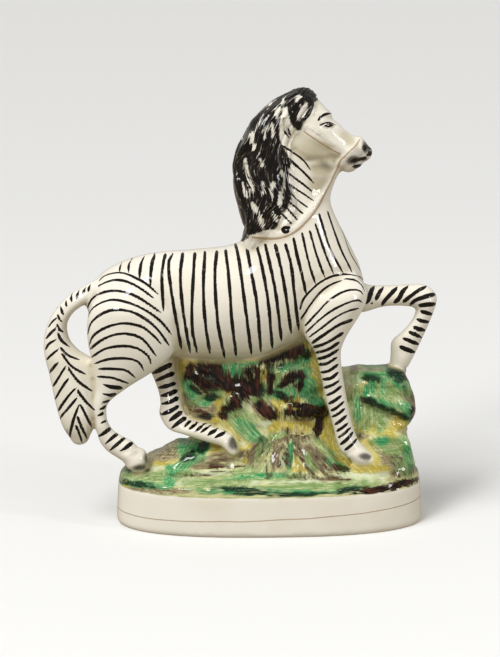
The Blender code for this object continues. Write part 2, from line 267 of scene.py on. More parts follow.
daylight = add_light("daylight", "SUN", (-0.9, -0.75, 2.0), 1.55, (28, 0))
daylight.visible_glossy = False
add_light("window", "AREA", (-0.70, -1.0, 1.05), 7.0, (0.34, 0.32))
add_light("tall_strip", "AREA", (1.05, -0.55, 0.45), 3.2, (0.10, 0.6))

# %% [markdown]
# Every limb is drawn as a row of ribs, the oval sections that a modeller would cut from card and
# fill with clay. A rib is (x1, z1, x2, z2, y, half): its long axis joins two points of the outline
# as seen from the side, in millimetres above the plinth's top, y is its distance from the middle
# plane and half is half its thickness. The numbers are those of the CAD solid, so the finished skin
# stays where the solid is. Only the lower ends of three legs were set right here afterwards, by up
# to four millimetres, when the photograph was looked at once more.

# %% Ribs of the animal
MM = 0.001
PLINTH_TOP = 20.4  # above the table, in millimetres

TRUNK = (
    (-85.7, 99, -86, 79, 0, 9),
    (-83, 105, -82, 68, 0, 16),
    (-75, 110, -74, 64, 0, 19.5),
    (-64, 114, -63, 63, 0, 21),
    (-52, 116, -51, 63.5, 0, 21),
    (-37, 117, -37, 62.5, 0, 21.5),
    (-22, 118.5, -21, 61.5, 0, 22.5),
    (-13.5, 121, -5.5, 62.5, 0, 23),
    (-11.5, 124, 10, 69, 0, 22.5),
    (-11, 128.5, 25, 75.5, 0, 22),
    (-12, 135, 39, 84.5, 0, 21),
    (-14, 142.5, 46.5, 95, 0, 19.5),
    (-15.5, 149.5, 45, 106.5, 0, 17.5),
    (-16, 156.5, 40, 118, 0, 15.5),
    (-15, 163, 35, 128, 0, 14),
    (-12, 170, 31, 136.5, 0, 12.5),
    (-8.5, 178, 29, 143, 0, 11.5),
    (-3.5, 185, 31, 149.5, 0, 10.5),
    (2, 190, 33.5, 155, 0, 9.5),
    (8, 193, 34, 160, 0, 8.5),
)
HEAD = (
    (8, 191.5, 7, 178, 0, 7),
    (12, 194.3, 9.5, 170.5, 0, 9.5),
    (17.5, 194.6, 15, 166, 0, 10.5),
    (23.3, 191.2, 20.5, 165.2, 0, 10.5),
    (28, 186.2, 25.5, 164, 0, 9.5),
    (33, 180, 30, 161, 0, 8.5),
    (38.2, 174.9, 34.5, 156.8, 0, 7.5),
    (43, 172.6, 38.5, 155, 0, 7),
    (46.3, 170.8, 42, 156.6, 0, 6.8),
    (48.2, 167.5, 45.3, 160, 0, 5.5),
)
THROAT = (
    (12, 168, 38.5, 165, 0, 6),
    (12, 160, 35.5, 157.5, 0, 5.5),
    (12, 152, 32, 150.5, 0, 6),
    (12, 144, 29.8, 143, 0, 7.5),
    (12, 137, 30.5, 137, 0, 9),
)
MANE = (
    (12, 195.4, 21, 188, 0, 9.5),
    (4.7, 192.3, 14, 180, 0, 11.5),
    (-3, 187.2, 9.5, 172, 0, 12.8),
    (-9, 180, 9, 163.5, 0, 14),
    (-13, 172, 10, 155.5, 0, 15),
    (-15.5, 164, 11.5, 148.5, 0, 16),
    (-17.3, 156.5, 12.5, 141.5, 0, 17),
    (-17.4, 148.3, 12.5, 135.5, 0, 18),
    (-16, 141, 9.5, 130.5, 0, 18.5),
    (-14, 133.5, 4, 126.5, 0, 18),
    (-12, 127.5, -2, 123, 0, 16.5),
)
NEAR_HIND_LEG = (
    (-80, 99, -57, 101, -8, 8),
    (-87.5, 92, -49.5, 91, -10, 12),
    (-90, 82, -45.5, 79, -11, 13),
    (-89.5, 71.5, -47.5, 68, -11, 12.5),
    (-87.5, 61, -57, 59, -11, 10.5),
    (-86, 50.5, -71, 50, -11, 8),
    (-87, 42, -80, 42.5, -11, 6),
    (-86.5, 33.5, -80.5, 33.5, -11, 5.5),
    (-84.8, 23.8, -77.4, 28, -11, 5.3),
    (-80.8, 18, -72.6, 25, -11.5, 5.3),
    (-76, 14.8, -66.6, 20.8, -12, 6),
    (-73, 12.8, -61.8, 17.8, -12, 7),
    (-72.2, 11.4, -60.8, 13.8, -12, 7.5),
)
FAR_HIND_LEG = (
    (-66, 67, -42.5, 68, 9, 12),
    (-60, 56, -45.5, 58, 7, 9),
    (-55.8, 46, -45, 48.5, 4, 6.5),
    (-54.2, 39.5, -44.5, 41.5, 0, 6),
    (-54.5, 33.5, -43.5, 37.5, -3, 6),
    (-50.5, 27.6, -40, 32.8, -6.5, 5.5),
    (-42.5, 25.6, -35.5, 31.4, -10, 5),
    (-33, 23, -28.8, 30, -12.5, 5),
    (-25.4, 21.2, -21.6, 27.8, -14, 5),
    (-22.8, 19.6, -18.2, 25.2, -15, 5.4),
    (-21, 17.9, -16.5, 21.6, -16, 5),
)
NEAR_FORELEG = (
    (24.5, 102, 43, 104.5, -10, 7),
    (16.5, 95, 48, 98, -11.5, 11),
    (14.5, 86.5, 45.5, 89, -12.5, 11.5),
    (16.5, 76.5, 37.5, 76.5, -13, 10.5),
    (21.5, 68, 34.5, 68, -13.5, 8.5),
    (24.5, 57, 35.5, 57.5, -14, 7),
    (27.4, 43, 37.8, 44, -15, 6.5),
    (30.6, 31.5, 40.2, 33, -16, 6),
    (33, 22, 42.4, 26, -17, 6),
    (35.4, 17.6, 45.2, 21.4, -18, 6.3),
    (39.8, 14.4, 49.6, 16.8, -19, 6.3),
)
RAISED_FORELEG = (
    (37.5, 104, 36.5, 80.5, 6, 10),
    (49, 97.3, 48, 83.5, 7, 8),
    (58.5, 96.3, 58, 86, 8, 6.5),
    (68.5, 96.8, 69, 86, 8, 6),
    (77.5, 96.7, 73, 84.5, 8, 6),
    (83.3, 91.5, 73, 82, 8, 6),
    (82.5, 84, 71, 77.7, 8, 5.8),
    (78.5, 73.5, 66.5, 72.5, 8, 5.5),
    (74.5, 64.5, 61.5, 68, 8, 5.5),
    (71.7, 58.5, 61, 61, 8, 5.5),
    (69.3, 54, 60.5, 55, 8, 6),
    (68, 48.5, 60.5, 49, 8, 6),
)
TAIL = (
    (-83, 104, -81, 95.5, -2, 6),
    (-91.5, 99.5, -87.5, 92.5, -2, 5),
    (-99, 95, -94, 88.5, -2, 5.2),
    (-105, 88.5, -97.8, 85, -2, 5.6),
    (-109.5, 81, -100, 79.5, -2, 6),
    (-111.5, 72, -98.5, 72.5, -3, 7),
    (-111, 64, -93.5, 67, -4, 8),
    (-109.5, 57.5, -87, 62.5, -4.5, 8.5),
    (-108, 50, -84.5, 54.5, -5, 9),
    (-106.5, 42.5, -84, 45, -5.5, 9),
    (-104.5, 34.5, -85, 36.5, -6, 9),
    (-102.2, 28, -87, 29, -6, 8),
    (-99, 23, -89.5, 24, -6, 6),
)

# %% Levels of the rocks
# A rock is a stack of levels: z, left, right, front, back
CENTRAL_ROCK = (
    (74, -32, 22, -5, 9),
    (62, -43.5, 28, -7, 12),
    (50, -44.5, 32, -8, 14),
    (38, -43.5, 35, -9, 16),
    (24, -40, 38, -11, 19),
    (12, -42, 42, -18, 23),
    (0, -46, 48, -26, 27),
    (-8, -46, 48, -26, 27),
)
RIGHT_ROCK = (
    (55.5, 36, 64.5, -4, 11),
    (53.5, 34, 67.5, -7, 13),
    (48, 33, 69.5, -9, 15),
    (37, 33, 73, -11, 17),
    (30, 33, 72.5, -11, 17),
    (24, 34, 68.5, -12, 17),
    (15, 36, 71, -19, 20),
    (7, 36, 72.5, -24, 24),
    (-8, 36, 72.5, -24, 24),
)
LEFT_MOUND = (
    (19, -46, -30, -5, 9),
    (15, -54, -18, -10, 14),
    (9.5, -64, -8, -17, 20),
    (4, -70, 0, -24, 25),
    (-8, -72, 4, -26, 27),
)
BOULDERS = (
    # across, up, half length, half height, how proud, lean, 1 if on the far side too
    (-36, 59, 9, 7, 2.0, -35, 1),
    (-27, 49, 13, 6, 2.5, -25, 0),
    (-15, 42, 10, 7, 2.5, 60, 1),
    (-8, 58, 9, 8, 2.0, 0, 0),
    (8, 66, 14, 7, 2.5, 20, 1),
    (12, 52, 14, 9, 2.5, -10, 1),
    (15, 37.5, 13, 6.5, 3.5, 0, 1),
    (-6, 33, 12, 7, 2.0, 15, 0),
    (-30, 34, 10, 8, 1.5, 20, 1),
    (54, 48, 14, 6, 1.5, 0, 1),
    (56, 40, 16, 6, 2.5, -14, 0),
    (43, 34, 8, 9, 1.5, 30, 1),
    (58, 20, 13, 8, 2.5, -10, 1),
    (50, 10, 12, 6, 1.5, 0, 0),
    (-38, 11, 16, 6, 2.0, 18, 0),
)

# %% [markdown]
# A loft is a skin drawn over a row of rings. Blender can make one by joining the points of each
# ring to the next with four-sided faces. Catmull-Rom curves put more ribs between the drawn ones,
# because they pass through every value and need no handles. Each end is closed with a small dome.

# %% Ribs into lofts
RING_SIDES = 44
STEPS_BETWEEN_RIBS = 7
DOME_RINGS = 5
STRAND_SIDES = 14
STEPS_BETWEEN_SPOTS = 5  # along strands and strokes
SINK = 0.3  # how deep a strand lies in the surface, as a share of its radius
clay = []  # every form laid so far: its name, points in millimetres, and faces


def curve_through(rows, steps):
    """Rows of values with more between them, on Catmull-Rom curves."""
    knots = np.array(rows, float)
    knots = np.vstack([2 * knots[0] - knots[1], knots, 2 * knots[-1] - knots[-2]])
    made = []
    for i in range(1, len(knots) - 2):
        a, b, c, d = knots[i - 1 : i + 3]
        for t in np.arange(steps) / steps:
            turn = 0.5 * t * (c - a) + 0.5 * t**2 * (2 * a - 5 * b + 4 * c - d)
            made.append(b + turn + 0.5 * t**3 * (3 * b - a - 3 * c + d))
    return made + [knots[-2]]


def rib_ring(rib):
    """The points of one oval section."""
    x1, z1, x2, z2, y, half = rib
    turn = np.linspace(0, 2 * math.pi, RING_SIDES, endpoint=False)[:, None]
    reach = np.array([(x1 - x2) / 2, 0, (z1 - z2) / 2])
    centre = np.array([(x1 + x2) / 2, y, (z1 + z2) / 2])
    return centre + np.cos(turn) * reach + np.sin(turn) * np.array([0, half, 0])


def domed(rings, dome):
    """The rings with a rounded end beyond the first and the last."""
    for end, inner in ((0, 1), (-1, -2)):
        ring = rings[end]
        centre = ring.mean(axis=0)
        out = centre - rings[inner].mean(axis=0)
        out = out / np.linalg.norm(out)
        radius = np.abs(ring - centre).max() * dome
        caps = []
        for k in range(1, DOME_RINGS + 1):
            angle = 0.5 * math.pi * k / (DOME_RINGS + 0.5)
            caps.append(centre + (ring - centre) * math.cos(angle) + out * radius * math.sin(angle))
        rings = caps[::-1] + rings if end == 0 else rings + caps
    return rings


def lay_loft(name, rings):
    """Joins closed rings of equal length into one closed form and lays it on the heap of clay."""
    sides = len(rings[0])
    faces = [tuple(range(sides))[::-1]]
    for low in range(0, sides * (len(rings) - 1), sides):
        for i in range(sides):
            j = (i + 1) % sides
            faces.append((low + i, low + j, low + sides + j, low + sides + i))
    faces.append(tuple(range(sides * (len(rings) - 1), sides * len(rings))))
    clay.append((name, np.vstack(rings), faces))


def lay_limb(name, ribs):
    rings = [rib_ring(rib) for rib in curve_through(ribs, STEPS_BETWEEN_RIBS)]
    lay_loft(name, domed(rings, 0.6))


def lay_strand(name, line, radii):
    """A round-ended roll of clay through points."""
    turns = np.linspace(0, 2 * math.pi, STRAND_SIDES, endpoint=False)[:, None]
    rings = []
    for i, (point, radius) in enumerate(zip(line, radii)):
        way = line[min(i + 1, len(line) - 1)] - line[max(i - 1, 0)]
        way = way / np.linalg.norm(way)
        outward = np.array([0, 1.0, 0]) - way * way[1]
        outward = outward / np.linalg.norm(outward)
        across = np.cross(way, outward)
        rings.append(point + radius * (np.cos(turns) * across + np.sin(turns) * outward))
    lay_loft(name, domed(rings, 0.8))


def search_tree(forms):
    """All the forms in one tree that finds the nearest face, and which form each face is of."""
    points, faces, owner, start = [], [], [], 0
    for k, (_, form_points, form_faces) in enumerate(forms):
        points.append(form_points)
        faces += [tuple(start + i for i in face) for face in form_faces]
        owner += [k] * len(form_faces)
        start += len(form_points)
    return BVHTree.FromPolygons(np.vstack(points).tolist(), faces), np.array(owner)


def surface_y(tree, x, z, side):
    """The y of the clay at x and z: side -1 is the near side and 1 the far side."""
    hit = tree.ray_cast(Vector((x, 90 * side, z)), Vector((0, -side, 0)))[0]
    if hit is None:
        hit = tree.find_nearest(Vector((x, side, z)))[0]
    return hit.y


def lay_along(name, tree, rows):
    """A roll of clay on both sides, a little sunk in, through rows of (x, z, radius)."""
    rows = [row.tolist() for row in curve_through(rows, STEPS_BETWEEN_SPOTS)]
    for side in (-1, 1):
        line = []
        for x, z, radius in rows:
            line.append(np.array([x, surface_y(tree, x, z, side) - side * radius * SINK, z]))
        lay_strand(name, line, [row[2] for row in rows])


# %% [markdown]
# The ground comes first. The plinth is a superellipse, an oval a little squarer than an ellipse. It
# is swept up through a foot, a white band that draws in slightly, and turf that rolls over the rim.
# The rocks are stacks of ovals pushed about by noise, with boulders laid on them, and the roots of
# a tree stump spread towards the rim.

# %% Plinth, rocks and stump
PLINTH_LENGTH, PLINTH_DEPTH = 153.0, 72.0
PLINTH_TAPER = 1.0
FOOT_ROUNDING = 1.8
BELOW_TABLE = 4.0  # the heap reaches this far down and is cut off at the table later
# rise above the plinth's top, inset from the rim
TURF = ((0.0, 2.2), (1.6, 1.4), (4.0, 2.2), (6.6, 6.0), (8.4, 13.0), (9.0, 24.0))
OVAL_SIDES = 112
SQUARENESS = 2.5  # 2 is a plain ellipse
ROCK_ROUGHNESS = 1.2
STUMP_TOP = (12.5, -12.0, 23.5)
STUMP_ROOTS = 6
ROOT_RADIUS = 4.0


def oval(half_x, half_y, z, middle=(0.0, 0.0)):
    """A level ring of points on a superellipse."""
    turn = np.linspace(0, 2 * math.pi, OVAL_SIDES, endpoint=False)
    x = np.sign(np.cos(turn)) * np.abs(np.cos(turn)) ** (2 / SQUARENESS) * half_x
    y = np.sign(np.sin(turn)) * np.abs(np.sin(turn)) ** (2 / SQUARENESS) * half_y
    return np.stack([x + middle[0], y + middle[1], np.full(OVAL_SIDES, float(z))], axis=1)


def lay_plinth():
    """The plinth, as ovals inset by a profile of its height and its inset."""
    profile = [(-BELOW_TABLE, FOOT_ROUNDING)]
    for k in range(5):
        angle = 0.5 * math.pi * k / 4
        rise, inset = 1 - math.cos(angle), 1 - math.sin(angle)
        profile.append((FOOT_ROUNDING * rise, FOOT_ROUNDING * inset))
    profile.append((PLINTH_TOP - 0.4, PLINTH_TAPER))
    profile += [(PLINTH_TOP + rise, inset) for rise, inset in TURF]
    rings = []
    for z, inset in profile:
        half_x, half_y = PLINTH_LENGTH / 2 - inset, PLINTH_DEPTH / 2 - inset
        rings.append(oval(half_x, half_y, z - PLINTH_TOP))
    lay_loft("plinth", rings)


def lay_rock(name, levels):
    """A stack of ovals, pushed in and out by two sizes of noise."""
    rings = []
    for z, left, right, front, back in curve_through(levels, 4):
        middle = np.array([(left + right) / 2, (front + back) / 2])
        ring = oval((right - left) / 2, (back - front) / 2, z, middle)
        for point in ring:
            lump = noise.noise(Vector(point) * 0.09) + 0.5 * noise.noise(Vector(point) * 0.2)
            outward = point[:2] - middle
            point[:2] += outward / max(np.linalg.norm(outward), 1) * lump * ROCK_ROUGHNESS
        rings.append(ring)
    lay_loft(name, rings)


def lay_boulder(tree, boulder, side):
    """A flattened lump standing out of whatever surface is at its middle."""
    x, z, half_x, half_z, proud, lean, _ = boulder
    y = surface_y(tree, x, z, side) - side * 0.6 * proud
    ball = bmesh.new()
    bmesh.ops.create_icosphere(ball, subdivisions=4, radius=1.0)
    turn = Matrix.Rotation(math.radians(-lean), 3, "Y")
    points = []
    for vert in ball.verts:
        lump = 1 + 0.16 * noise.noise(vert.co * 1.6 + Vector((x, z, side)))
        sized = Vector((vert.co.x * half_x, vert.co.y * 1.6 * proud, vert.co.z * half_z)) * lump
        points.append((turn @ sized + Vector((x, y, z)))[:])
    faces = [tuple(vert.index for vert in face.verts) for face in ball.faces]
    ball.free()
    clay.append(("boulder", np.array(points), faces))


def lay_root(k):
    """One root that spreads forwards from the stump over the turf, the k-th from the left."""
    spread = k / (STUMP_ROOTS - 1) - 0.45
    x, y, z = STUMP_TOP
    foot_y = y - 16 + 12 * abs(spread)
    path = (
        (x + 12 * spread, y, z, 0.7 * ROOT_RADIUS),
        (x + 20 * spread, 0.65 * y + 0.35 * foot_y, 0.7 * z + 2.5, ROOT_RADIUS),
        (x + 31 * spread, 0.3 * y + 0.7 * foot_y, 0.2 * z + 7, ROOT_RADIUS),
        (x + 41 * spread, foot_y, 7.5, 0.5 * ROOT_RADIUS),
    )
    rows = curve_through(path, STEPS_BETWEEN_SPOTS)
    lay_strand("root", [row[:3] for row in rows], [row[3] for row in rows])


lay_plinth()
lay_rock("central_rock", CENTRAL_ROCK)
lay_rock("right_rock", RIGHT_ROCK)
lay_rock("left_mound", LEFT_MOUND)
tree, _ = search_tree(clay)
for boulder in BOULDERS:
    for side in (-1, 1) if boulder[-1] else (-1,):
        lay_boulder(tree, boulder, side)
for k in range(STUMP_ROOTS):
    lay_root(k)
GROUND_FORMS = len(clay)
print("ground:", GROUND_FORMS, "forms,", sum(len(form[2]) for form in clay), "faces")

# %% [markdown]
# The animal's trunk runs from the rump to the head in one loft, and the legs, tail, throat and mane
# overlap it deeply, as rolls of clay would before they are thumbed together. The mane gets a few
# wavy locks, and ear, forelock, bridle and rein are thin rolls laid on the surface of both sides:
# a ray sent in from the side finds how high the clay stands there.

# %% Zebra
REIN = (
    (37.7, 166.5, 1.5), (34.2, 160.5, 1.6), (31.2, 155.6, 1.6), (28.3, 149.9, 1.6),
    (24.7, 144.9, 1.6), (20.9, 140.5, 1.6), (15.8, 134.9, 1.6), (10.8, 130.4, 1.6),
    (5.8, 128.2, 1.6), (-0.4, 127.0, 1.6), (-7.6, 127.5, 1.6), (-11.5, 128.2, 1.4),
)
CHEEK_STRAP = ((16.7, 180.5, 0.9), (22.5, 176.5, 1.0), (28.4, 172.4, 1.0), (37.2, 166.8, 1.2))
NOSEBAND = ((44.2, 172.4, 1.0), (42.4, 170.6, 1.2), (39.4, 167.2, 1.3), (36.6, 161, 1.3))
EAR = ((6.9, 187.5, 0.8), (6.3, 183, 2.2), (6.8, 177.5, 2.6), (8.3, 173, 1.6), (9.3, 170.5, 0.7))
FORELOCKS = (
    ((12.5, 194, 1.6), (15.2, 190, 2.0), (15, 184, 1.7), (16.5, 179, 0.8)),
    ((16.5, 193.5, 1.6), (19.8, 190.5, 1.8), (20, 185.5, 0.8)),
    ((8.5, 192, 1.6), (10, 188, 2.0), (11, 183, 1.6), (13, 176.5, 0.8)),
)
MANE_LOCKS = 5
LOCK_RADIUS = 2.4


def lock_path(k):
    """One wavy lock that runs down the mane, the k-th from the crest."""
    across = (k + 0.7) / (MANE_LOCKS + 0.3)
    path = []
    for i, (x1, z1, x2, z2, _, _) in enumerate(MANE):
        down = i / (len(MANE) - 1)
        share = across + 0.09 * math.sin(9.0 * down + 1.9 * k) * (1 - across)
        radius = LOCK_RADIUS * (0.55 + 0.6 * math.sin(math.pi * down) ** 0.5)
        path.append((x1 + (x2 - x1) * share, z1 + (z2 - z1) * share, radius))
    return path[: len(path) - k // 2]


for name, ribs in (
    ("trunk", TRUNK), ("head", HEAD), ("throat", THROAT), ("mane", MANE), ("tail", TAIL),
    ("near_hind_leg", NEAR_HIND_LEG), ("far_hind_leg", FAR_HIND_LEG),
    ("near_foreleg", NEAR_FORELEG), ("raised_foreleg", RAISED_FORELEG),
):
    lay_limb(name, ribs)
tree, _ = search_tree(clay[GROUND_FORMS:])
for k in range(MANE_LOCKS):
    lay_along("lock", tree, lock_path(k))
for path in FORELOCKS:
    lay_along("forelock", tree, path)
lay_along("ear", tree, EAR)
lay_along("strap", tree, CHEEK_STRAP)
lay_along("strap", tree, NOSEBAND)
tree, _ = search_tree(clay[GROUND_FORMS:])
lay_along("rein", tree, REIN)
print("zebra:", len(clay) - GROUND_FORMS, "forms")

# %% [markdown]
# Now the forms are pressed into one skin. A Boolean union of forty bodies is slow and leaves
# slivers, so the Remesh modifier is used instead: it fills the heap with small cells and wraps one
# even skin round them. A few passes of Smooth thumb the joins, the skin is cut flat at the table,
# and the head is divided once more, because the eye and the bridle are its finest work.

# %% Press the forms into one skin
CLAY_GRAIN = 1.12  # millimetres
SOFTENING_PASSES = 3


def heap_mesh():
    """All forms in one mesh, with their faces turned outwards."""
    points, faces, start = [], [], 0
    for _, form_points, form_faces in clay:
        points.append(form_points)
        faces += [tuple(start + i for i in face) for face in form_faces]
        start += len(form_points)
    mesh = bpy.data.meshes.new("heap_of_forms")
    mesh.from_pydata(np.vstack(points).tolist(), [], faces)
    body = bmesh.new()
    body.from_mesh(mesh)
    bmesh.ops.recalc_face_normals(body, faces=body.faces)
    body.to_mesh(mesh)
    body.free()
    return mesh


heap = bpy.data.objects.new("heap_of_forms", heap_mesh())
scene.collection.objects.link(heap)
press = heap.modifiers.new("press_together", "REMESH")
press.mode = "VOXEL"
press.voxel_size = CLAY_GRAIN
soften = heap.modifiers.new("soften", "SMOOTH")
soften.iterations = SOFTENING_PASSES
skin = bmesh.new()
skin.from_object(heap, bpy.context.evaluated_depsgraph_get())
bpy.data.objects.remove(heap)
print("pressed skin:", len(skin.faces), "faces")

# %% Cut the underside flat and divide the head
HEAD_LEFT, HEAD_LOW = 3.5, 150
JAW_FALL, JAW_LINE = 0.7, 168  # the jaw's line falls this much for each millimetre to the right


def in_head(point):
    above_jaw = point.z + JAW_FALL * point.x > JAW_LINE
    return point.x > HEAD_LEFT and point.z > HEAD_LOW and above_jaw


def shells_of(mesh):
    """The separate skins of a mesh, the biggest first. The others are bubbles between forms."""
    left, shells = set(mesh.verts), []
    while left:
        to_visit, shell = [left.pop()], []
        while to_visit:
            vert = to_visit.pop()
            shell.append(vert)
            beside = [edge.other_vert(vert) for edge in vert.link_edges]
            to_visit += [other for other in beside if other in left]
            left.difference_update(beside)
        shells.append(shell)
    return sorted(shells, key=len, reverse=True)


whole = list(skin.verts) + list(skin.edges) + list(skin.faces)
bmesh.ops.bisect_plane(
    skin, geom=whole, plane_co=(0, 0, -PLINTH_TOP), plane_no=(0, 0, -1), clear_outer=True
)
rim = [edge for edge in skin.edges if edge.is_boundary]
bmesh.ops.edgeloop_fill(skin, edges=rim)
fine = [edge for edge in skin.edges if all(in_head(vert.co) for vert in edge.verts)]
bmesh.ops.subdivide_edges(skin, edges=fine, cuts=1, use_grid_fill=True)
head_points = [vert for vert in skin.verts if in_head(vert.co)]
every_way = {"use_axis_x": True, "use_axis_y": True, "use_axis_z": True}
for _ in range(2):
    bmesh.ops.smooth_vert(skin, verts=head_points, factor=0.5, **every_way)
bubbles = [vert for shell in shells_of(skin)[1:] for vert in shell]
bmesh.ops.delete(skin, geom=bubbles, context="VERTS")
figure_mesh = bpy.data.meshes.new("zebra_figurine_glazed")
skin.to_mesh(figure_mesh)
open_edges = sum(1 for edge in skin.edges if not edge.is_manifold)
skin.free()
figure_mesh.shade_smooth()
points = np.empty(3 * len(figure_mesh.vertices), np.float32)
figure_mesh.vertices.foreach_get("co", points)
points = points.reshape(-1, 3).astype(float)
figure_mesh.calc_loop_triangles()
print("skin:", len(points), "points,", len(figure_mesh.loop_triangles), "triangles")
print("open edges:", open_edges)

# %% [markdown]
# Painting and carving both need to know where a point of the skin is in the picture. A brush stroke
# was read off the photograph as a few points, so the skin is looked at from the same eye: the line
# from the eye through a point meets the figure's middle plane at (across, up), and strokes are
# written in those two numbers. The far side of the body mirrors the near side. The legs are painted
# right through, which makes rings of their bars.

# %% Picture plane of every point
EYE = np.array([-57.2, -1360.5, 403.7])  # in millimetres, above the plinth's top
LIMBS = ("near_hind_leg", "far_hind_leg", "near_foreleg", "raised_foreleg")

ground_tree, ground_owner = search_tree(clay[:GROUND_FORMS])
zebra_tree, zebra_owner = search_tree(clay[GROUND_FORMS:])
to_ground = np.empty(len(points))
to_zebra = np.empty(len(points))
form_of = np.empty(len(points), int)
for i, point in enumerate(points.tolist()):
    _, _, ground_face, to_ground[i] = ground_tree.find_nearest(point)
    _, _, zebra_face, to_zebra[i] = zebra_tree.find_nearest(point)
    if to_ground[i] < to_zebra[i]:
        form_of[i] = ground_owner[ground_face]
    else:
        form_of[i] = GROUND_FORMS + zebra_owner[zebra_face]
part_of = np.array([name for name, _, _ in clay])[form_of]
is_ground = form_of < GROUND_FORMS


def among(*names):
    """Which points belong to the named forms."""
    return np.isin(part_of, names)


def skin_normals():
    """The outward direction at every point of the skin as it is now."""
    values = np.empty(3 * len(points), np.float32)
    figure_mesh.vertices.foreach_get("normal", values)
    return values.reshape(-1, 3).astype(float)


seen = points.copy()
seen[:, 1] = np.where(among(*LIMBS), points[:, 1], -np.abs(points[:, 1]))
share = -EYE[1] / (seen[:, 1] - EYE[1])
plane = np.stack([EYE[k] + (seen[:, k] - EYE[k]) * share for k in (0, 2)], axis=1)
normals = skin_normals()
print({str(name): int(count) for name, count in zip(*np.unique(part_of, return_counts=True))})

# %% [markdown]
# Two measures serve every tool. The first is the distance of a point from a stroke's line, and how
# far along the stroke that is. The second is how deep a point lies inside a dab, an oval with a
# lean. From them come grooves and swellings in the clay as well as lines and patches of paint.

# %% Distance from a stroke, depth in a dab
def stroke_line(stroke):
    return np.array(curve_through(stroke, STEPS_BETWEEN_SPOTS))


def near_stroke(where, line, reach):
    """The points within reach of a line: which they are, and for each its distance from the line,
    its side of it (-1 or 1), how far along it is, and the line's whole length."""
    low, high = line.min(axis=0) - reach, line.max(axis=0) + reach
    inside = np.flatnonzero(((where > low) & (where < high)).all(axis=1))
    spots = where[inside]
    best = np.full(len(inside), 1e9)
    along, side = np.zeros(len(inside)), np.ones(len(inside))
    passed = 0.0
    for a, b in zip(line, line[1:]):
        step = b - a
        length = np.linalg.norm(step)
        t = np.clip((spots - a) @ step / length**2, 0, 1)
        off = spots - a - t[:, None] * step
        gap = np.linalg.norm(off, axis=1)
        closer = gap < best
        best[closer] = gap[closer]
        along[closer] = passed + t[closer] * length
        side[closer] = np.sign(step[0] * off[closer, 1] - step[1] * off[closer, 0])
        passed += length
    return inside, best, side, along, passed


def in_dab(where, dab):
    """1 at the middle of a dab, 0 at its edge and less outside."""
    x, z, half_x, half_z, lean = dab
    lean = math.radians(lean)
    across, up = where[:, 0] - x, where[:, 1] - z
    u = (math.cos(lean) * across + math.sin(lean) * up) / half_x
    v = (math.cos(lean) * up - math.sin(lean) * across) / half_z
    return 1 - np.hypot(u, v)


# %% [markdown]
# Modelling tools next. A groove is pressed along a line, deepest in its middle. A swelling, or a
# dent when its height is below nothing, is an oval hump. Both only move points along their own
# normals, so nothing folds. They give the head its cheek, brow, eye, nostril and mouth, set the
# haunch off from the flank, mark hooves and joints, and cut ledges and roots into the ground.

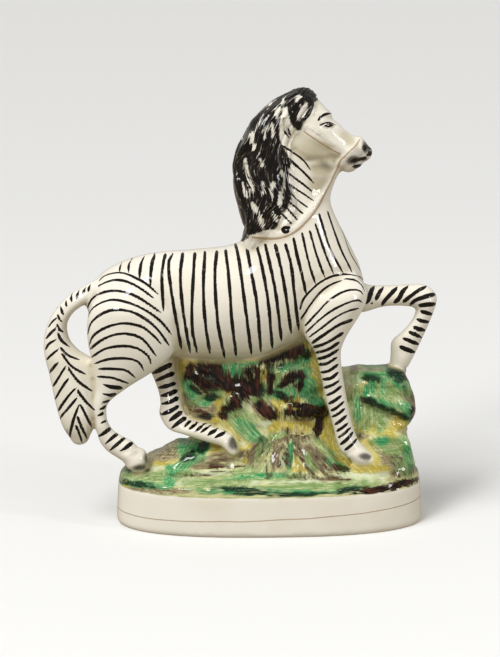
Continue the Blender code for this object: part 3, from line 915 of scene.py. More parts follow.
# %% Grooves
STUMP = ("root", "central_rock", "boulder")
LEDGE = ("central_rock", "boulder")
RIGHT_LEDGE = ("right_rock", "boulder")
GROOVES = (
    # forms, half width, depth, line
    (("head", "throat", "trunk"), 1.7, 0.8, (
        (11.3, 167.3), (14.3, 164), (18.2, 161.9), (24.6, 161.4), (31, 162), (35, 162.6),
    )),
    (("head",), 0.55, 0.75, ((40.2, 159.9), (43.2, 160.7), (46.1, 161.4), (49, 163.3))),
    (("head",), 0.5, 0.5, ((24.5, 178.2), (26.7, 179.4), (28.8, 179.8), (32.6, 178.9))),
    (("head",), 0.6, 0.35, ((25, 177.6), (27.2, 176.9), (30, 177), (32.2, 178.2))),
    (("ear",), 1.0, 1.3, ((6.8, 184.5), (6.9, 180), (7.3, 176.5), (8.3, 172.8))),
    (("trunk", "near_hind_leg"), 2.6, 1.0, (
        (-68.2, 105), (-60.4, 100.4), (-53.8, 94), (-48.4, 82.6), (-45, 72.4), (-41.4, 63.1),
    )),
    (("trunk", "near_foreleg"), 2.2, 0.45, (
        (13.4, 80), (15.6, 91.2), (21, 98.4), (29.4, 103.6), (37.2, 105.6), (43.7, 104.6),
    )),
    (("trunk", "near_foreleg", "raised_foreleg"), 1.8, 0.6, (
        (47.7, 98.5), (47.4, 92.9), (45, 86.4), (39.9, 79.8),
    )),
    (("near_hind_leg",), 0.9, 0.5, ((-74, 13.4), (-69, 14.6), (-64, 17.6))),
    (("near_foreleg",), 0.8, 0.45, ((37, 10.6), (40.5, 12.8), (45.5, 15))),
    (("far_hind_leg",), 0.8, 0.45, ((-22.6, 18.6), (-21, 21), (-20, 24.4))),
    (("raised_foreleg",), 0.8, 0.45, ((60, 58.4), (64, 56.8), (70, 55.5))),
    (("tail",), 1.4, 0.5, (
        (-88, 97), (-97, 92), (-104, 83), (-105, 71), (-102.6, 60), (-97, 47), (-94.6, 33),
    )),
    (STUMP, 1.0, 1.0, ((-1, 19), (-3.6, 11.7), (-6, 3.5))),
    (STUMP, 1.7, 1.9, ((7.6, 19.6), (9, 13.2), (10, 2))),
    (STUMP, 0.8, 0.7, ((1.8, 18.4), (1, 11.2), (-0.6, 2))),
    (STUMP, 0.9, 0.8, ((13.6, 17.4), (18.4, 10), (23, 1.8))),
    (STUMP, 1.1, 0.9, ((22, 19.4), (31, 11.4), (39, 3.5))),
    (LEDGE, 1.4, 1.2, ((-3.7, 57.4), (3.3, 57), (10.2, 58), (16, 61.4))),
    (LEDGE, 1.3, 1.2, ((6.8, 29), (13.3, 27.8), (20.3, 27.2), (25.6, 22.6))),
    (LEDGE, 1.2, 0.9, ((6.8, 38.8), (14.3, 38), (21.8, 37.8), (27, 35))),
    (LEDGE, 1.3, 0.9, ((-38.5, 52), (-32, 46.9), (-24, 44), (-15, 44.6))),
    (LEDGE, 1.3, 0.8, ((-21, 32.6), (-15.6, 40.6), (-8.7, 43.2))),
    (LEDGE, 1.1, 0.8, ((-12.8, 39.3), (-9.7, 33.6), (-3.7, 29.2), (3.3, 29.8))),
    (RIGHT_LEDGE, 1.5, 1.4, ((45.5, 37.2), (53.3, 33.6), (61.3, 30.2), (68, 27.4))),
    (RIGHT_LEDGE, 1.2, 0.7, ((38, 51), (46, 47), (57, 45), (67, 46))),
)
push = np.zeros(len(points))
for names, half, deep, line in GROOVES:
    chosen, gap, _, along, length = near_stroke(plane, stroke_line(line), 3 * half)
    fade = np.clip(np.minimum(along, length - along) / half + 0.35, 0, 1)
    press = -deep * np.exp(-((gap / half) ** 2)) * fade
    push[chosen] += np.where(np.isin(part_of[chosen], names), press, 0)
print("grooves:", len(GROOVES), "deepest", round(push.min(), 2), "mm")

# %% Swellings and dents
SWELLINGS = (
    # forms, height, oval: (across, up, half length, half width, lean)
    (("head", "trunk", "throat"), 1.1, (21.5, 170.5, 10, 8.5, -30)),
    (("head",), -0.8, (30.4, 181.5, 5.5, 2.6, -25)),
    (("head",), 0.9, (28.7, 178.7, 3.6, 1.9, -3)),
    (("head",), 0.6, (27.6, 184.2, 5.5, 1.5, -4)),
    (("head",), 0.7, (45.6, 167.2, 3.6, 3, -40)),
    (("head",), -1.0, (46.6, 166, 1.7, 1.1, -65)),
    (("head",), 0.5, (44, 158.4, 4, 1.7, 14)),
    (("throat", "trunk", "head"), -0.7, (24, 156.6, 9, 4, -8)),
    (("trunk", "near_hind_leg"), 1.0, (-74, 87, 17, 12, -15)),
    (("trunk",), -0.9, (-45, 80, 10, 6, 75)),
    (("trunk", "near_foreleg"), 0.9, (34, 92, 13, 10, 45)),
    (("trunk",), 0.6, (-18, 86, 24, 18, 0)),
    (("near_foreleg",), 0.6, (32, 49, 5, 5, 0)),
    (("near_foreleg",), 0.5, (39, 19, 4, 4, 0)),
    (("near_hind_leg",), 0.5, (-84, 27, 5, 5, 0)),
    (("near_hind_leg",), 0.6, (-70, 18.5, 5, 5, 0)),
    (("far_hind_leg",), 0.5, (-52, 35, 6, 5, 0)),
    (("raised_foreleg",), 0.6, (78, 90, 6, 6, 0)),
    (("raised_foreleg",), 0.5, (66, 61, 4, 4, 0)),
    (("root", "central_rock"), 0.8, (20, 11, 12, 4, -57)),
    (("root", "central_rock"), 0.6, (-5, 11, 10, 3, 58)),
    (RIGHT_LEDGE, 1.2, (57, 38, 14, 4, -25)),
)
for names, high, dab in SWELLINGS:
    inside = np.clip(in_dab(plane, dab), 0, 1)
    push += np.where(np.isin(part_of, names), high * inside**2 * (3 - 2 * inside), 0)
print("swellings:", len(SWELLINGS), "highest", round(push.max(), 2), "mm")

# %% [markdown]
# The mane has coordinates of its own: how far down from the poll, and how far across from the
# crest. They come from its ribs, by finding the nearest of many sample spots. Waves in them make
# the locks, rounded on top with a sharp groove between, and later guide the streaks of the brush.
# The sampled spots are blended four at a time, so that the waves come out even.

# %% Locks of the mane
MANE_FORMS = ("mane", "lock", "forelock")
MANE_WIDTH, MANE_LENGTH = 24.0, 78.0
LOCK_WIDTH, HAIR_WIDTH = 4.3, 1.45
SPOTS_DOWN, SPOTS_ACROSS = 14, 40  # sample spots from rib to rib, and from crest to edge
ribs = np.array(curve_through(MANE, SPOTS_DOWN))
shares = np.linspace(-0.25, 1.3, SPOTS_ACROSS)
spots, values = [], []
for i, (x1, z1, x2, z2, _, _) in enumerate(ribs):
    for across in shares:
        spots.append(Vector((x1 + (x2 - x1) * across, z1 + (z2 - z1) * across, 0)))
        values.append((across * MANE_WIDTH, i / (len(ribs) - 1) * MANE_LENGTH))
values = np.array(values)
finder = KDTree(len(spots))
for k, spot in enumerate(spots):
    finder.insert(spot, k)
finder.balance()
hair = np.zeros((len(points), 3))
in_mane_area = ~is_ground & (plane[:, 0] > -30) & (plane[:, 0] < 34) & (plane[:, 1] > 112)
for i in np.flatnonzero(in_mane_area):
    found = finder.find_n((plane[i, 0], plane[i, 1], 0), 4)
    weights = np.array([1 / (gap + 0.15) for _, _, gap in found])
    hair[i, :2] = (values[[k for _, k, _ in found]] * weights[:, None]).sum(axis=0) / weights.sum()
wave = 1.5 * np.sin(0.17 * hair[:, 1] + 0.10 * hair[:, 0]) + 0.8 * np.sin(0.31 * hair[:, 1] + 1.3)
hair[:, 2] = hair[:, 0] + wave
swing = 0.5 * np.sin(0.11 * hair[:, 1])
locks = np.abs(np.cos(hair[:, 2] * math.pi / LOCK_WIDTH + swing)) ** 0.7
hairs = np.abs(np.cos(hair[:, 2] * math.pi / HAIR_WIDTH + 0.3)) ** 0.8
lock_relief = 1.0 * (locks - 0.6) + 0.22 * (hairs - 0.6)
push += np.where(among(*MANE_FORMS), lock_relief, 0)
print("mane points:", int(among(*MANE_FORMS).sum()))

# %% [markdown]
# Pressed clay is never quite true. A slow unevenness runs over the whole figure and makes the gloss
# wander, and the ground gets a rougher one, as a modeller's fingers and a hard sponge leave it. The
# white band stays nearly smooth, and the foot stays flat on the table.

# %% Unevenness, then move the points
CLAY_WAVES = ((0.16, 0.07),)  # height in millimetres, and how close the waves stand
GROUND_WAVES = ((0.50, 0.17), (0.18, 0.43))
FOOT = 0.3  # millimetres above the table that stay as they are


def waves(spot, kinds):
    return sum(height * noise.noise(spot * close) for height, close in kinds)


rough = np.zeros(len(points))
for i, point in enumerate(points.tolist()):
    rough[i] = waves(Vector(point), CLAY_WAVES)
    if is_ground[i] and point[2] > -0.5:
        rough[i] += waves(Vector(point), GROUND_WAVES)
on_band = is_ground & (points[:, 2] < 0.0)
push += np.where(on_band, 0.5 * rough, rough)
push *= np.clip((points[:, 2] + PLINTH_TOP - FOOT) / 2.0, 0, 1)
moved = points + normals * push[:, None]
moved[:, 2] = np.where(points[:, 2] < -PLINTH_TOP + FOOT, points[:, 2], moved[:, 2])
metres = (moved + np.array([0, 0, PLINTH_TOP])) * MM
figure_mesh.vertices.foreach_set("co", metres.astype(np.float32).ravel())
figure_mesh.update()
figure = bpy.data.objects.new("zebra_figurine_glazed", figure_mesh)
scene.collection.objects.link(figure)
print("moved by", round(push.min(), 2), "to", round(push.max(), 2), "mm")

# %% [markdown]
# Every stripe was one pull of a loaded brush: it starts at once, swells a little and thins out as
# it lifts. The skin's points are a millimetre apart and a stripe is hardly wider, so a plain map of
# black and white points would come out as a dotted line. Instead each point keeps where it stands
# in the row of stripes, as on a dial: at 0 on the middle of a stripe, at half a turn midway to the
# next. The dial's cosine and sine change evenly from point to point, so the shader can find the
# crisp edge of even a hairline between them. The strokes are in millimetres of the picture plane.

# %% Strokes of the barrel and the neck
BARREL = (
    ((-72.6, 111), (-73.6, 108.5), (-73.9, 106)),
    ((-67.2, 113.3), (-69.2, 110), (-69.5, 105.5)),
    ((-61.3, 114.7), (-63.3, 110), (-64.3, 102.9)),
    ((-56.4, 115.4), (-58.1, 108.9), (-58.9, 98.8)),
    ((-51.2, 115.4), (-53, 104.3), (-52.4, 85.6)),
    ((-47.5, 115.4), (-49.8, 108.4), (-47.2, 87.6), (-43.6, 65.7)),
    ((-42.6, 115.8), (-43.9, 104.3), (-42.8, 86.6), (-39.2, 64.1)),
    ((-36.7, 115.8), (-37.7, 101.7), (-38.4, 78.9), (-35.9, 64.6)),
    ((-31.8, 116.3), (-32.6, 99.1), (-31.9, 81.4), (-29.5, 64.1)),
    ((-25.9, 116.7), (-26.9, 104.1), (-25.7, 81.4), (-22.1, 61.4)),
    ((-21.7, 117.2), (-20, 101.6), (-18.6, 81.3), (-16.4, 62.4)),
    ((-17, 120.2), (-15.1, 111.6), (-12.1, 88.9), (-8.9, 63.4)),
    ((-11.6, 120.1), (-9.2, 106.5), (-6.2, 88.8), (-4.2, 64.4)),
    ((-7.2, 121.6), (-4.2, 110.5), (-0.8, 91.3), (1.5, 66.3)),
    ((-2.3, 120.1), (0.2, 109), (3.2, 93.8), (6, 70.4)),
    ((2.6, 120), (5.6, 107.4), (8.1, 93.8), (10.9, 73.9)),
    ((7.6, 120), (10.6, 108.9), (12.1, 96.3), (14.6, 75.4)),
    ((11.7, 123), (13.5, 113.9), (16, 103.8), (18.3, 93.7)),
)
NECK = (
    ((5.5, 168.8), (10.9, 165.3), (16.3, 161.3), (20.2, 156.1)),
    ((4.5, 166.3), (9.9, 160.9), (16.3, 155.6), (21.9, 149.4)),
    ((6.5, 157.4), (10.9, 153.4), (16.3, 149.4), (22.2, 144.4)),
    ((7.5, 151.5), (11.4, 147.9), (16.3, 144.7), (22, 140.7)),
    ((8.5, 146.5), (13.4, 141.7), (19.3, 137.2)),
    ((7.5, 142.5), (12.4, 138), (17.8, 133.4)),
    ((8, 138), (11.5, 134), (15.2, 129.7)),
    ((4.6, 136), (8, 132.5), (12.2, 128.2)),
    ((9.4, 162.3), (11.9, 159.9), (14.3, 158.1)),
)

# %% Strokes of the haunch, the shoulder and the chest
HAUNCH = (
    ((-85, 100.6), (-81, 104.3), (-74.6, 105.7), (-68.7, 104.5), (-61.4, 100.6), (-54.8, 94.5)),
    ((-88.5, 95.3), (-83.5, 99.5), (-76.6, 102), (-69.8, 101), (-62.9, 97.2), (-57, 92.5)),
    ((-90.4, 86.5), (-87.1, 92.8), (-81.1, 96), (-73.7, 96.3), (-64.9, 93.2), (-53.4, 85.1)),
    (
        (-90.7, 80.9), (-87.6, 87.4), (-80.7, 91.1), (-73.8, 91.4), (-63.5, 87.8), (-54.2, 81.3),
        (-48.3, 73.7),
    ),
    (
        (-90.3, 73.8), (-88.2, 80.4), (-82.2, 85.1), (-74.8, 86.8), (-66, 84.9), (-56.6, 78.1),
        (-49.5, 68.3),
    ),
    (
        (-89.6, 68.2), (-87.3, 73.7), (-80.8, 78), (-72.4, 80), (-63.6, 78.4), (-57.2, 73.5),
        (-53.5, 69.1),
    ),
    ((-89.1, 66.9), (-83.4, 71.4), (-76.9, 74.2), (-70, 74.7), (-62.6, 71.7), (-56, 63)),
    ((-88.4, 62.8), (-81.5, 67.1), (-73, 68.5), (-65.6, 67.3), (-60.2, 63.3), (-58.8, 59.2)),
    ((-87, 59.5), (-80, 61.8), (-71.6, 62.2), (-65.2, 60.4), (-62.3, 55.7)),
    ((-85.1, 56.9), (-78.1, 56.9), (-71.2, 56), (-66.5, 52.1)),
    ((-85.6, 53), (-78.2, 52.3), (-69.8, 49.3)),
)
HOCK = (
    ((-72.8, 47), (-78.2, 47.6), (-82.9, 49.2)),
    ((-75.8, 44), (-79.3, 43.4), (-83, 44.3)),
    ((-79, 40.9), (-80.8, 40.2), (-83.5, 39.9)),
    ((-81.3, 37.9), (-82.8, 36.8), (-84.8, 35.8)),
    ((-82.4, 34.3), (-83.9, 33.5), (-85.9, 32.7)),
    ((-81.2, 30.4), (-82.4, 29.9), (-84.4, 28.9)),
    ((-79, 26.7), (-82.5, 23.9), (-85.7, 21.9)),
    ((-75, 24.1), (-78.5, 21.3), (-82.1, 18.2)),
    ((-71.5, 22), (-75.6, 18.4), (-79.8, 14.8)),
    ((-67.6, 19.4), (-71.1, 16.6), (-74.9, 14.3)),
)
SHOULDER = (
    (
        (15.1, 85.6), (16.6, 90.9), (20.5, 95.9), (25.9, 100.5), (32.3, 103.4), (39.7, 104.1),
        (44.7, 102.6), (47.7, 99.5),
    ),
    ((15.4, 81), (19.5, 87.6), (24.5, 94.4), (29.9, 98.7), (36.3, 101.1)),
    ((37.3, 101.8), (42.2, 101.1), (45.7, 98.5), (47.7, 95.5)),
    ((17.4, 77.7), (23.5, 84.5), (29.4, 90.6), (37.3, 95.2), (43.7, 96), (47, 93.7)),
    ((17.9, 74.4), (24, 80.4), (30.9, 85.7), (38.4, 89.5), (43.8, 90.8), (46.5, 89.4)),
    ((19.4, 72.1), (26, 77), (33, 82.4), (38.9, 85.4), (44.8, 86.6)),
)
FORELEG = (
    ((20.9, 69), (27.6, 73.8), (35, 78.7), (41.9, 80.8)),
    ((21.6, 66.9), (28.6, 69.4), (37, 74.7)),
    ((22.6, 64.1), (29.1, 65.9), (35, 69.9)),
    ((23.4, 61), (28.6, 62.3), (34.6, 66.1)),
    ((24.2, 58.2), (28.6, 58.7), (33.8, 62)),
    ((25.2, 54.1), (29.7, 54.9), (34.4, 58.4)),
    ((26.2, 50.5), (30.7, 51.2), (34.6, 54.5)),
    ((27, 46.1), (31.2, 47.6), (34.9, 50.2)),
    ((28.2, 42.2), (32.2, 44), (36.2, 47.3)),
    ((29.3, 37.8), (32.8, 39.7), (36.2, 42.4)),
    ((30.5, 34.2), (33.8, 36), (37.5, 39.3)),
    ((31.1, 31.1), (34.3, 32.6), (37.8, 35.7)),
    ((32.6, 27), (35.8, 29.3), (38.8, 32.1)),
    ((33.6, 23.6), (36.6, 25.6), (39.6, 28.2)),
    ((34.4, 20.2), (37.9, 22.8), (40.9, 25.8)),
    ((35.4, 16.5), (38.9, 19.6), (42.1, 23.5)),
    ((37.7, 13.7), (41.2, 16.5), (44.2, 20.1)),
)
CHEST = (
    ((15.9, 125.4), (18.4, 113.9), (20.7, 105.3), (23, 98.7)),
    ((19.6, 126.4), (22.4, 116.4), (25.4, 107.3), (27.6, 102.2)),
    ((22.3, 129.9), (24.8, 122.4), (28.1, 112.8), (31.8, 104.2)),
    ((24.1, 134.9), (26.7, 126.4), (29.8, 116.8), (32.8, 110.8), (36.8, 104.4)),
    ((28.4, 135.9), (32.7, 123.3), (36.2, 114.3), (41.2, 104.9)),
)
HAIRLINES = (
    ((32.3, 135.3), (36.1, 124.8), (39.6, 115.2), (43.6, 108.1), (47.7, 101)),
)

# %% Strokes of the legs and the tail
RAISED = (
    ((47.8, 88.6), (49.5, 92.4), (50.9, 96.7), (52.9, 99)),
    ((52.5, 90.4), (54.2, 94.4), (56.8, 98.2)),
    ((55.5, 87.8), (57.2, 90.8), (60.1, 93.9), (63.5, 97.9)),
    ((61.2, 89.3), (63.9, 91.3), (66, 95.3), (69, 98.6)),
    ((65.9, 89.5), (69.6, 92.5), (74, 95.8), (78.4, 98.3)),
    ((69.4, 87.9), (72.1, 90.5), (76.5, 92.2), (82.9, 93.9)),
    ((73.6, 87.9), (78, 88.4), (83, 88.6)),
    ((74.6, 85.1), (78.1, 84.1), (81.6, 83)),
    ((72.9, 81.1), (75.7, 80), (79.7, 79.3)),
    ((71.2, 77.2), (74.2, 75.9), (77.7, 75.1)),
    ((69, 74.7), (72.3, 73.2), (75.8, 71.3)),
    ((66.1, 71.4), (69.9, 69.9), (74.4, 68)),
    ((64.4, 67.3), (68.4, 65.5), (72.7, 63.9)),
)
FAR_HIND = (
    ((-48.1, 59.4), (-53.3, 56.6), (-58.6, 54.1)),
    ((-46.9, 54.7), (-52.4, 52.4), (-57.4, 50.2)),
    ((-46.2, 49.4), (-50.9, 47.9), (-55.4, 46.9)),
    ((-45.5, 45.8), (-50, 43.7), (-54.4, 42.8)),
    ((-45, 42.1), (-49.5, 39.6), (-54, 38.6)),
    ((-45, 37.8), (-49, 35), (-53.8, 33)),
    ((-43.3, 34.9), (-46.5, 32.4), (-50.3, 29.6)),
    ((-41.3, 31.8), (-45.1, 29.1), (-49.1, 25.9)),
    ((-38.8, 30), (-40.8, 28.4), (-42.6, 26.4)),
    ((-35.1, 29.4), (-37.8, 27.4), (-40.4, 25.3)),
    ((-31.4, 28.9), (-34.4, 26.6), (-37.1, 24)),
    ((-28.4, 27.8), (-31.4, 26), (-34.1, 23.7)),
    ((-24.6, 27), (-27.9, 24.4), (-31.1, 22.1)),
    ((-20.9, 24.9), (-24.1, 22.8), (-27.6, 20.8)),
)
TAIL_OUTER = (
    ((-89.5, 96.1), (-89, 98.3), (-88, 100.1)),
    ((-95.2, 92.3), (-94.8, 95.1), (-93.6, 97.4)),
    ((-100.2, 88.6), (-100.6, 90.6), (-100.3, 92.4)),
    ((-101.6, 84.5), (-102.7, 86.6), (-103.2, 89.3)),
    ((-107.6, 85.1), (-105.9, 87.1), (-104.1, 88.8)),
    ((-109.5, 78), (-107.7, 80.8), (-104.9, 83.5)),
    ((-110.8, 72.2), (-108.3, 75.2), (-105, 78.5)),
    ((-110.9, 66.8), (-109.1, 69.9), (-105.1, 72.4)),
    ((-110.5, 61.7), (-107.7, 64.5), (-104.4, 67.3)),
    ((-109.1, 55), (-107.3, 57.6), (-104.3, 60.9)),
    ((-107.7, 47.9), (-104.4, 53), (-100.9, 58.8)),
    ((-106.8, 41.2), (-103.5, 46.8), (-99.5, 52.7)),
    ((-105.5, 35), (-101.1, 41.6), (-96.3, 47.2)),
    ((-104.6, 25.7), (-104.3, 31.4), (-99.7, 37.3), (-95.2, 42.6)),
    ((-100, 18.9), (-99.4, 23.6), (-97.3, 31.8), (-94.5, 39)),
    ((-105, 80), (-103.8, 77.2), (-101.6, 75.6)),
    ((-103.7, 68.3), (-100, 64.2), (-93.9, 61.6)),
    ((-100.6, 58.6), (-95, 50.8), (-87.9, 45.4)),
    ((-96.1, 47), (-91.5, 40.5), (-86.6, 35.3)),
    ((-96.6, 28.2), (-95, 24.3), (-93.3, 18.6)),
)
TAIL_INNER = (
    ((-92.2, 94.6), (-91.4, 97.1), (-90.2, 98.8)),
    ((-97.7, 91.1), (-97.9, 93.6), (-97.1, 95.9)),
    ((-104.9, 85.1), (-103.7, 82.3), (-102, 80.7)),
    ((-104.8, 75.9), (-102.9, 71.6), (-98.7, 68.2)),
    ((-103, 65.2), (-98.2, 58.5), (-91, 54.1)),
    ((-94.2, 39), (-91.6, 33.6), (-88.4, 26.8)),
    ((-95.8, 33.1), (-93.6, 27.1), (-90.7, 20.6)),
)

# %% Strokes of the face, the bridle and the mane
BROW = (
    ((23.4, 180.5), (24.7, 182.4), (26.9, 183.7), (29.1, 184), (30.8, 183.3), (32.2, 181.9)),
)
FACE = (
    ((24.2, 178.1), (26.4, 179.3), (28.8, 179.8), (30.8, 179.5), (33, 178.5)),
    ((26.4, 178.4), (28.6, 177.8), (31.1, 178.4)),
    ((27.6, 179), (28.9, 178.7), (30.1, 179)),
    ((14, 176.1), (12.8, 179.1), (11.8, 183), (11.3, 187), (11.5, 190.4)),
    ((12.8, 177.6), (11.3, 180.6), (10.5, 184), (9.8, 188)),
    ((17.4, 181.3), (19.3, 183.5), (20.5, 186.4), (21.2, 189.9)),
    ((16.4, 180.3), (18.1, 182.3), (19.6, 184.5)),
    ((7.4, 175.7), (8.4, 173.7), (9.9, 172)),
    ((9.1, 177.2), (9.6, 174.7), (10.6, 172.7)),
)
ROUNDEL = (
    (
        (9.8, 126.1), (8.5, 125.4), (6.9, 125.8), (6.5, 127), (7.8, 127.8), (9.4, 127.5),
        (9.9, 126.3),
    ),
)
GILT_STRAPS = (
    ((16.4, 175.6), (23, 171.4), (28.9, 167.2), (34.8, 163.9)),
    ((44, 171.5), (41.9, 168.1), (39.2, 165.6), (36.3, 162.7)),
)
GILT_REIN = (
    (
        (37.3, 163.2), (34.6, 161.2), (33.4, 157.7), (31.5, 153.8), (29.3, 148.6), (26.6, 143.4),
        (23.7, 137.9), (19.3, 131.9), (13.9, 126.5), (8.1, 123.2), (1.7, 122.2), (-3.8, 122.5),
        (-8.7, 123.1),
    ),
)
FLECKS = (
    ((4.9, 188), (3.7, 185.1), (3.3, 181.6)),
    ((-1.9, 184.6), (-4.3, 181.2), (-5.5, 176.8)),
    ((-0.9, 178.2), (-2.6, 174.8), (-1.8, 170.8)),
    ((-8.7, 176.3), (-8.4, 171.3), (-7.2, 165.9)),
    ((-11.6, 163), (-11.6, 157.5), (-9.7, 151.6)),
    ((-5.3, 162.9), (-4, 160.5), (-2.8, 157.5)),
    ((2.6, 151), (0.6, 146.5), (0.9, 141.5)),
    ((5.5, 156.4), (7.2, 150.5), (5.3, 143.5), (4.6, 138)),
    ((-10.6, 152.6), (-8.7, 148.6), (-8.2, 144.6)),
    ((-9.2, 140.6), (-6.7, 136.6), (-5.2, 134.6)),
    ((-5.2, 134.6), (-3.8, 130.6), (-3.3, 126.6)),
    ((1.6, 135.6), (2.9, 132.5), (4.1, 130)),
    ((16.1, 192.1), (14.4, 192.4), (13.2, 191.1), (13.5, 189.4)),
    ((14.9, 188.9), (15.4, 186.5), (14.2, 183), (14.5, 180.6)),
    ((17.1, 190.4), (17.4, 187.9), (16.6, 185), (15.6, 182)),
    ((8.3, 192.9), (6.6, 190.9), (5.7, 188)),
    ((1, 190.5), (-0.4, 188), (-1.4, 185.6)),
    ((-5.8, 180.2), (-6.7, 177.7), (-7.5, 175.3)),
    ((-13.1, 151.6), (-12.1, 146.6), (-10.1, 142.6)),
    ((-3.8, 151.5), (-2.8, 147.5), (-3.3, 143.6)),
    ((0.6, 180.2), (1.6, 176.2), (1.1, 172.3)),
    ((6.9, 187), (7.4, 184.1), (6.9, 180.6)),
)
MANE_OUTLINE = (
    (-21.5, 118.7), (-16.5, 121.7), (-11.1, 123.4), (-6.7, 124.6), (-3.8, 126.1), (-0.8, 126.6),
    (3.1, 127.0), (4.6, 130.5), (6.1, 135.0), (8.5, 137.0), (10.5, 141.5), (10.9, 146.5),
    (9.4, 150.4), (9.4, 155.4), (10.4, 159.9), (8.4, 164.8), (6.0, 168.3), (4.7, 172.3),
    (4.7, 177.2), (5.4, 182.1), (6.9, 187.0), (8.3, 187.5), (8.8, 184.5), (9.6, 180.6),
    (11.3, 177.6), (13.3, 175.9), (15.0, 176.1), (16.2, 179.6), (17.6, 182.0), (19.6, 185.0),
    (21.0, 188.4), (22.4, 191.3), (25.4, 190.1), (26.3, 191.8), (23.4, 196.7), (14.6, 201.7),
    (2.5, 199.8), (-12.1, 188.6), (-21.4, 169.0), (-24.3, 146.7), (-24.4, 129.2),
)

# %% [markdown]
# The lines are laid one family at a time, each only on the forms that it belongs to, so a bar of a
# leg in front never marks the leg behind it. A dial holds one row of strokes, so families that run
# into each other at a sharp angle, as on the haunch and the tail, are kept on two dials. Strokes
# are drawn in the side view, and where the skin turns away from it a line that follows the outline
# would spread into a blotch. There the distance from the stroke is counted along the skin.

# %% Lay the strokes on the skin
TOUCH, TIP = 0.45, 0.20  # shares of the full width at which a stroke starts and ends
REACH = 3.5  # how far from a stroke its dial still turns
RUN_OUT = 2.5  # how far a stroke's line runs on beyond its end, unpainted
FACING = np.clip(np.abs(normals[:, 1]), 0.15, 1)  # 1 where the skin faces the side, less at edges
SLOPE = np.arctan2(normals[:, 2], normals[:, 0])


def unpainted():
    """A field of strokes with nothing on it yet."""
    empty = {"paint": -99.0, "gap": REACH, "side": 1.0, "width": -1.0, "next": REACH}
    return {name: np.full(len(points), value) for name, value in empty.items()}


def run_on(line):
    """The line with a straight run beyond both ends."""
    first, last = line[0] - line[1], line[-1] - line[-2]
    first, last = first / np.linalg.norm(first), last / np.linalg.norm(last)
    return np.vstack([line[0] + first * RUN_OUT, line, line[-1] + last * RUN_OUT])


def lay_strokes(field, strokes, half, forms, start, lift):
    """Adds a family of strokes, half a width wide, that swell over start and thin over lift."""
    allowed = np.isin(part_of, forms)
    for k, stroke in enumerate(strokes):
        line = stroke_line(stroke)
        chosen, gap, side, along, length = near_stroke(plane, run_on(line), 2 * REACH)
        keep = allowed[chosen]
        chosen, gap, side, along = chosen[keep], gap[keep], side[keep], along[keep] - RUN_OUT
        length -= 2 * RUN_OUT
        lean = np.gradient(line, axis=0)
        lean_at = np.unwrap(np.arctan2(lean[:, 1], lean[:, 0]))
        lean = np.interp(along, np.linspace(0, length, len(line)), lean_at)
        stretch = np.sin(lean - SLOPE[chosen]) ** 2 * (1 / FACING[chosen] ** 2 - 1)
        gap = gap * np.maximum(1, 0.75 * np.sqrt(1 + stretch))
        swell = TOUCH + (1 - TOUCH) * np.clip(along / start, 0, 1) ** 0.7
        thin = TIP + (1 - TIP) * np.clip((length - along) / lift, 0, 1) ** 0.7
        width = half * swell * thin * (0.92 + 0.10 * np.sin(0.33 * along + 2.1 * k))
        beyond = np.maximum(-along, along - length)
        width = np.where(beyond > 0, -0.8 * beyond, np.minimum(width, 0.15 - beyond * 0.9))
        paint = width - gap
        better = paint > field["paint"][chosen]
        won, lost = chosen[better], chosen[~better]
        was_painted = field["width"][won] > 0
        old_gap = np.where(was_painted, field["gap"][won], REACH)
        field["next"][won] = np.minimum(field["next"][won], old_gap)
        lost_gap = np.where(width[~better] > 0, gap[~better], REACH)
        field["next"][lost] = np.minimum(field["next"][lost], lost_gap)
        for name, values in (("paint", paint), ("gap", gap), ("side", side), ("width", width)):
            field[name][won] = values[better]
        brush_lean[won] = np.degrees(lean[better])


def dial(field):
    """Cosine and sine of the dial at every point, and the angle at which the paint's edge lies."""
    half_gap = np.maximum((field["gap"] + field["next"]) / 2, field["gap"])
    half_gap = np.clip(half_gap, 0.5, REACH)
    angle = np.clip(math.pi * field["gap"] / half_gap, 0, math.pi)
    edge = np.clip(math.pi * field["width"] / half_gap, -2.0, math.pi)
    return np.stack([np.cos(angle), field["side"] * np.sin(angle), edge], axis=1)


brush_lean = np.full(len(points), 90.0)
BODY = ("trunk", "throat", "near_hind_leg", "near_foreleg", "raised_foreleg")
FINE = ("head", "trunk", "throat", "strap", "forelock", "ear", "mane", "lock")
FIRST_DIAL = (
    # strokes, half width, forms, millimetres to swell over and to thin over
    (BARREL, 0.88, BODY, 1.2, 3.5),
    (CHEST, 0.64, BODY, 1.2, 3.5),
    (RAISED, 1.18, ("trunk", "raised_foreleg"), 2.0, 2.5),
    (FAR_HIND, 1.28, ("far_hind_leg",), 0.8, 3.6),
    (TAIL_INNER, 0.74, ("tail", "near_hind_leg"), 1.5, 3.0),
    (NECK, 0.55, FINE, 1.2, 3.5),
    (ROUNDEL, 0.86, ("trunk", "mane", "lock", "rein"), 0.2, 0.2),
)
SECOND_DIAL = (
    (HAUNCH, 0.74, ("trunk", "near_hind_leg"), 3.0, 4.0),
    (HOCK, 1.08, ("near_hind_leg",), 0.8, 4.5),
    (SHOULDER, 0.60, ("trunk", "near_foreleg"), 2.0, 2.5),
    (FORELEG, 0.90, ("trunk", "near_foreleg"), 1.6, 2.0),
    (HAIRLINES, 0.40, ("trunk", "throat"), 1.0, 2.0),
    (TAIL_OUTER, 0.74, ("tail", "near_hind_leg"), 1.5, 3.0),
    (BROW, 0.66, FINE, 0.6, 4.5),
    (FACE, 0.45, FINE, 0.6, 1.5),
)
stripes, crossing = unpainted(), unpainted()
for family in FIRST_DIAL:
    lay_strokes(stripes, *family)
for family in SECOND_DIAL:
    lay_strokes(crossing, *family)
stripe, crossing_stripe = dial(stripes), dial(crossing)
print("points under a stripe:", int((stripes["paint"] > 0).sum()), "of", int((~is_ground).sum()))

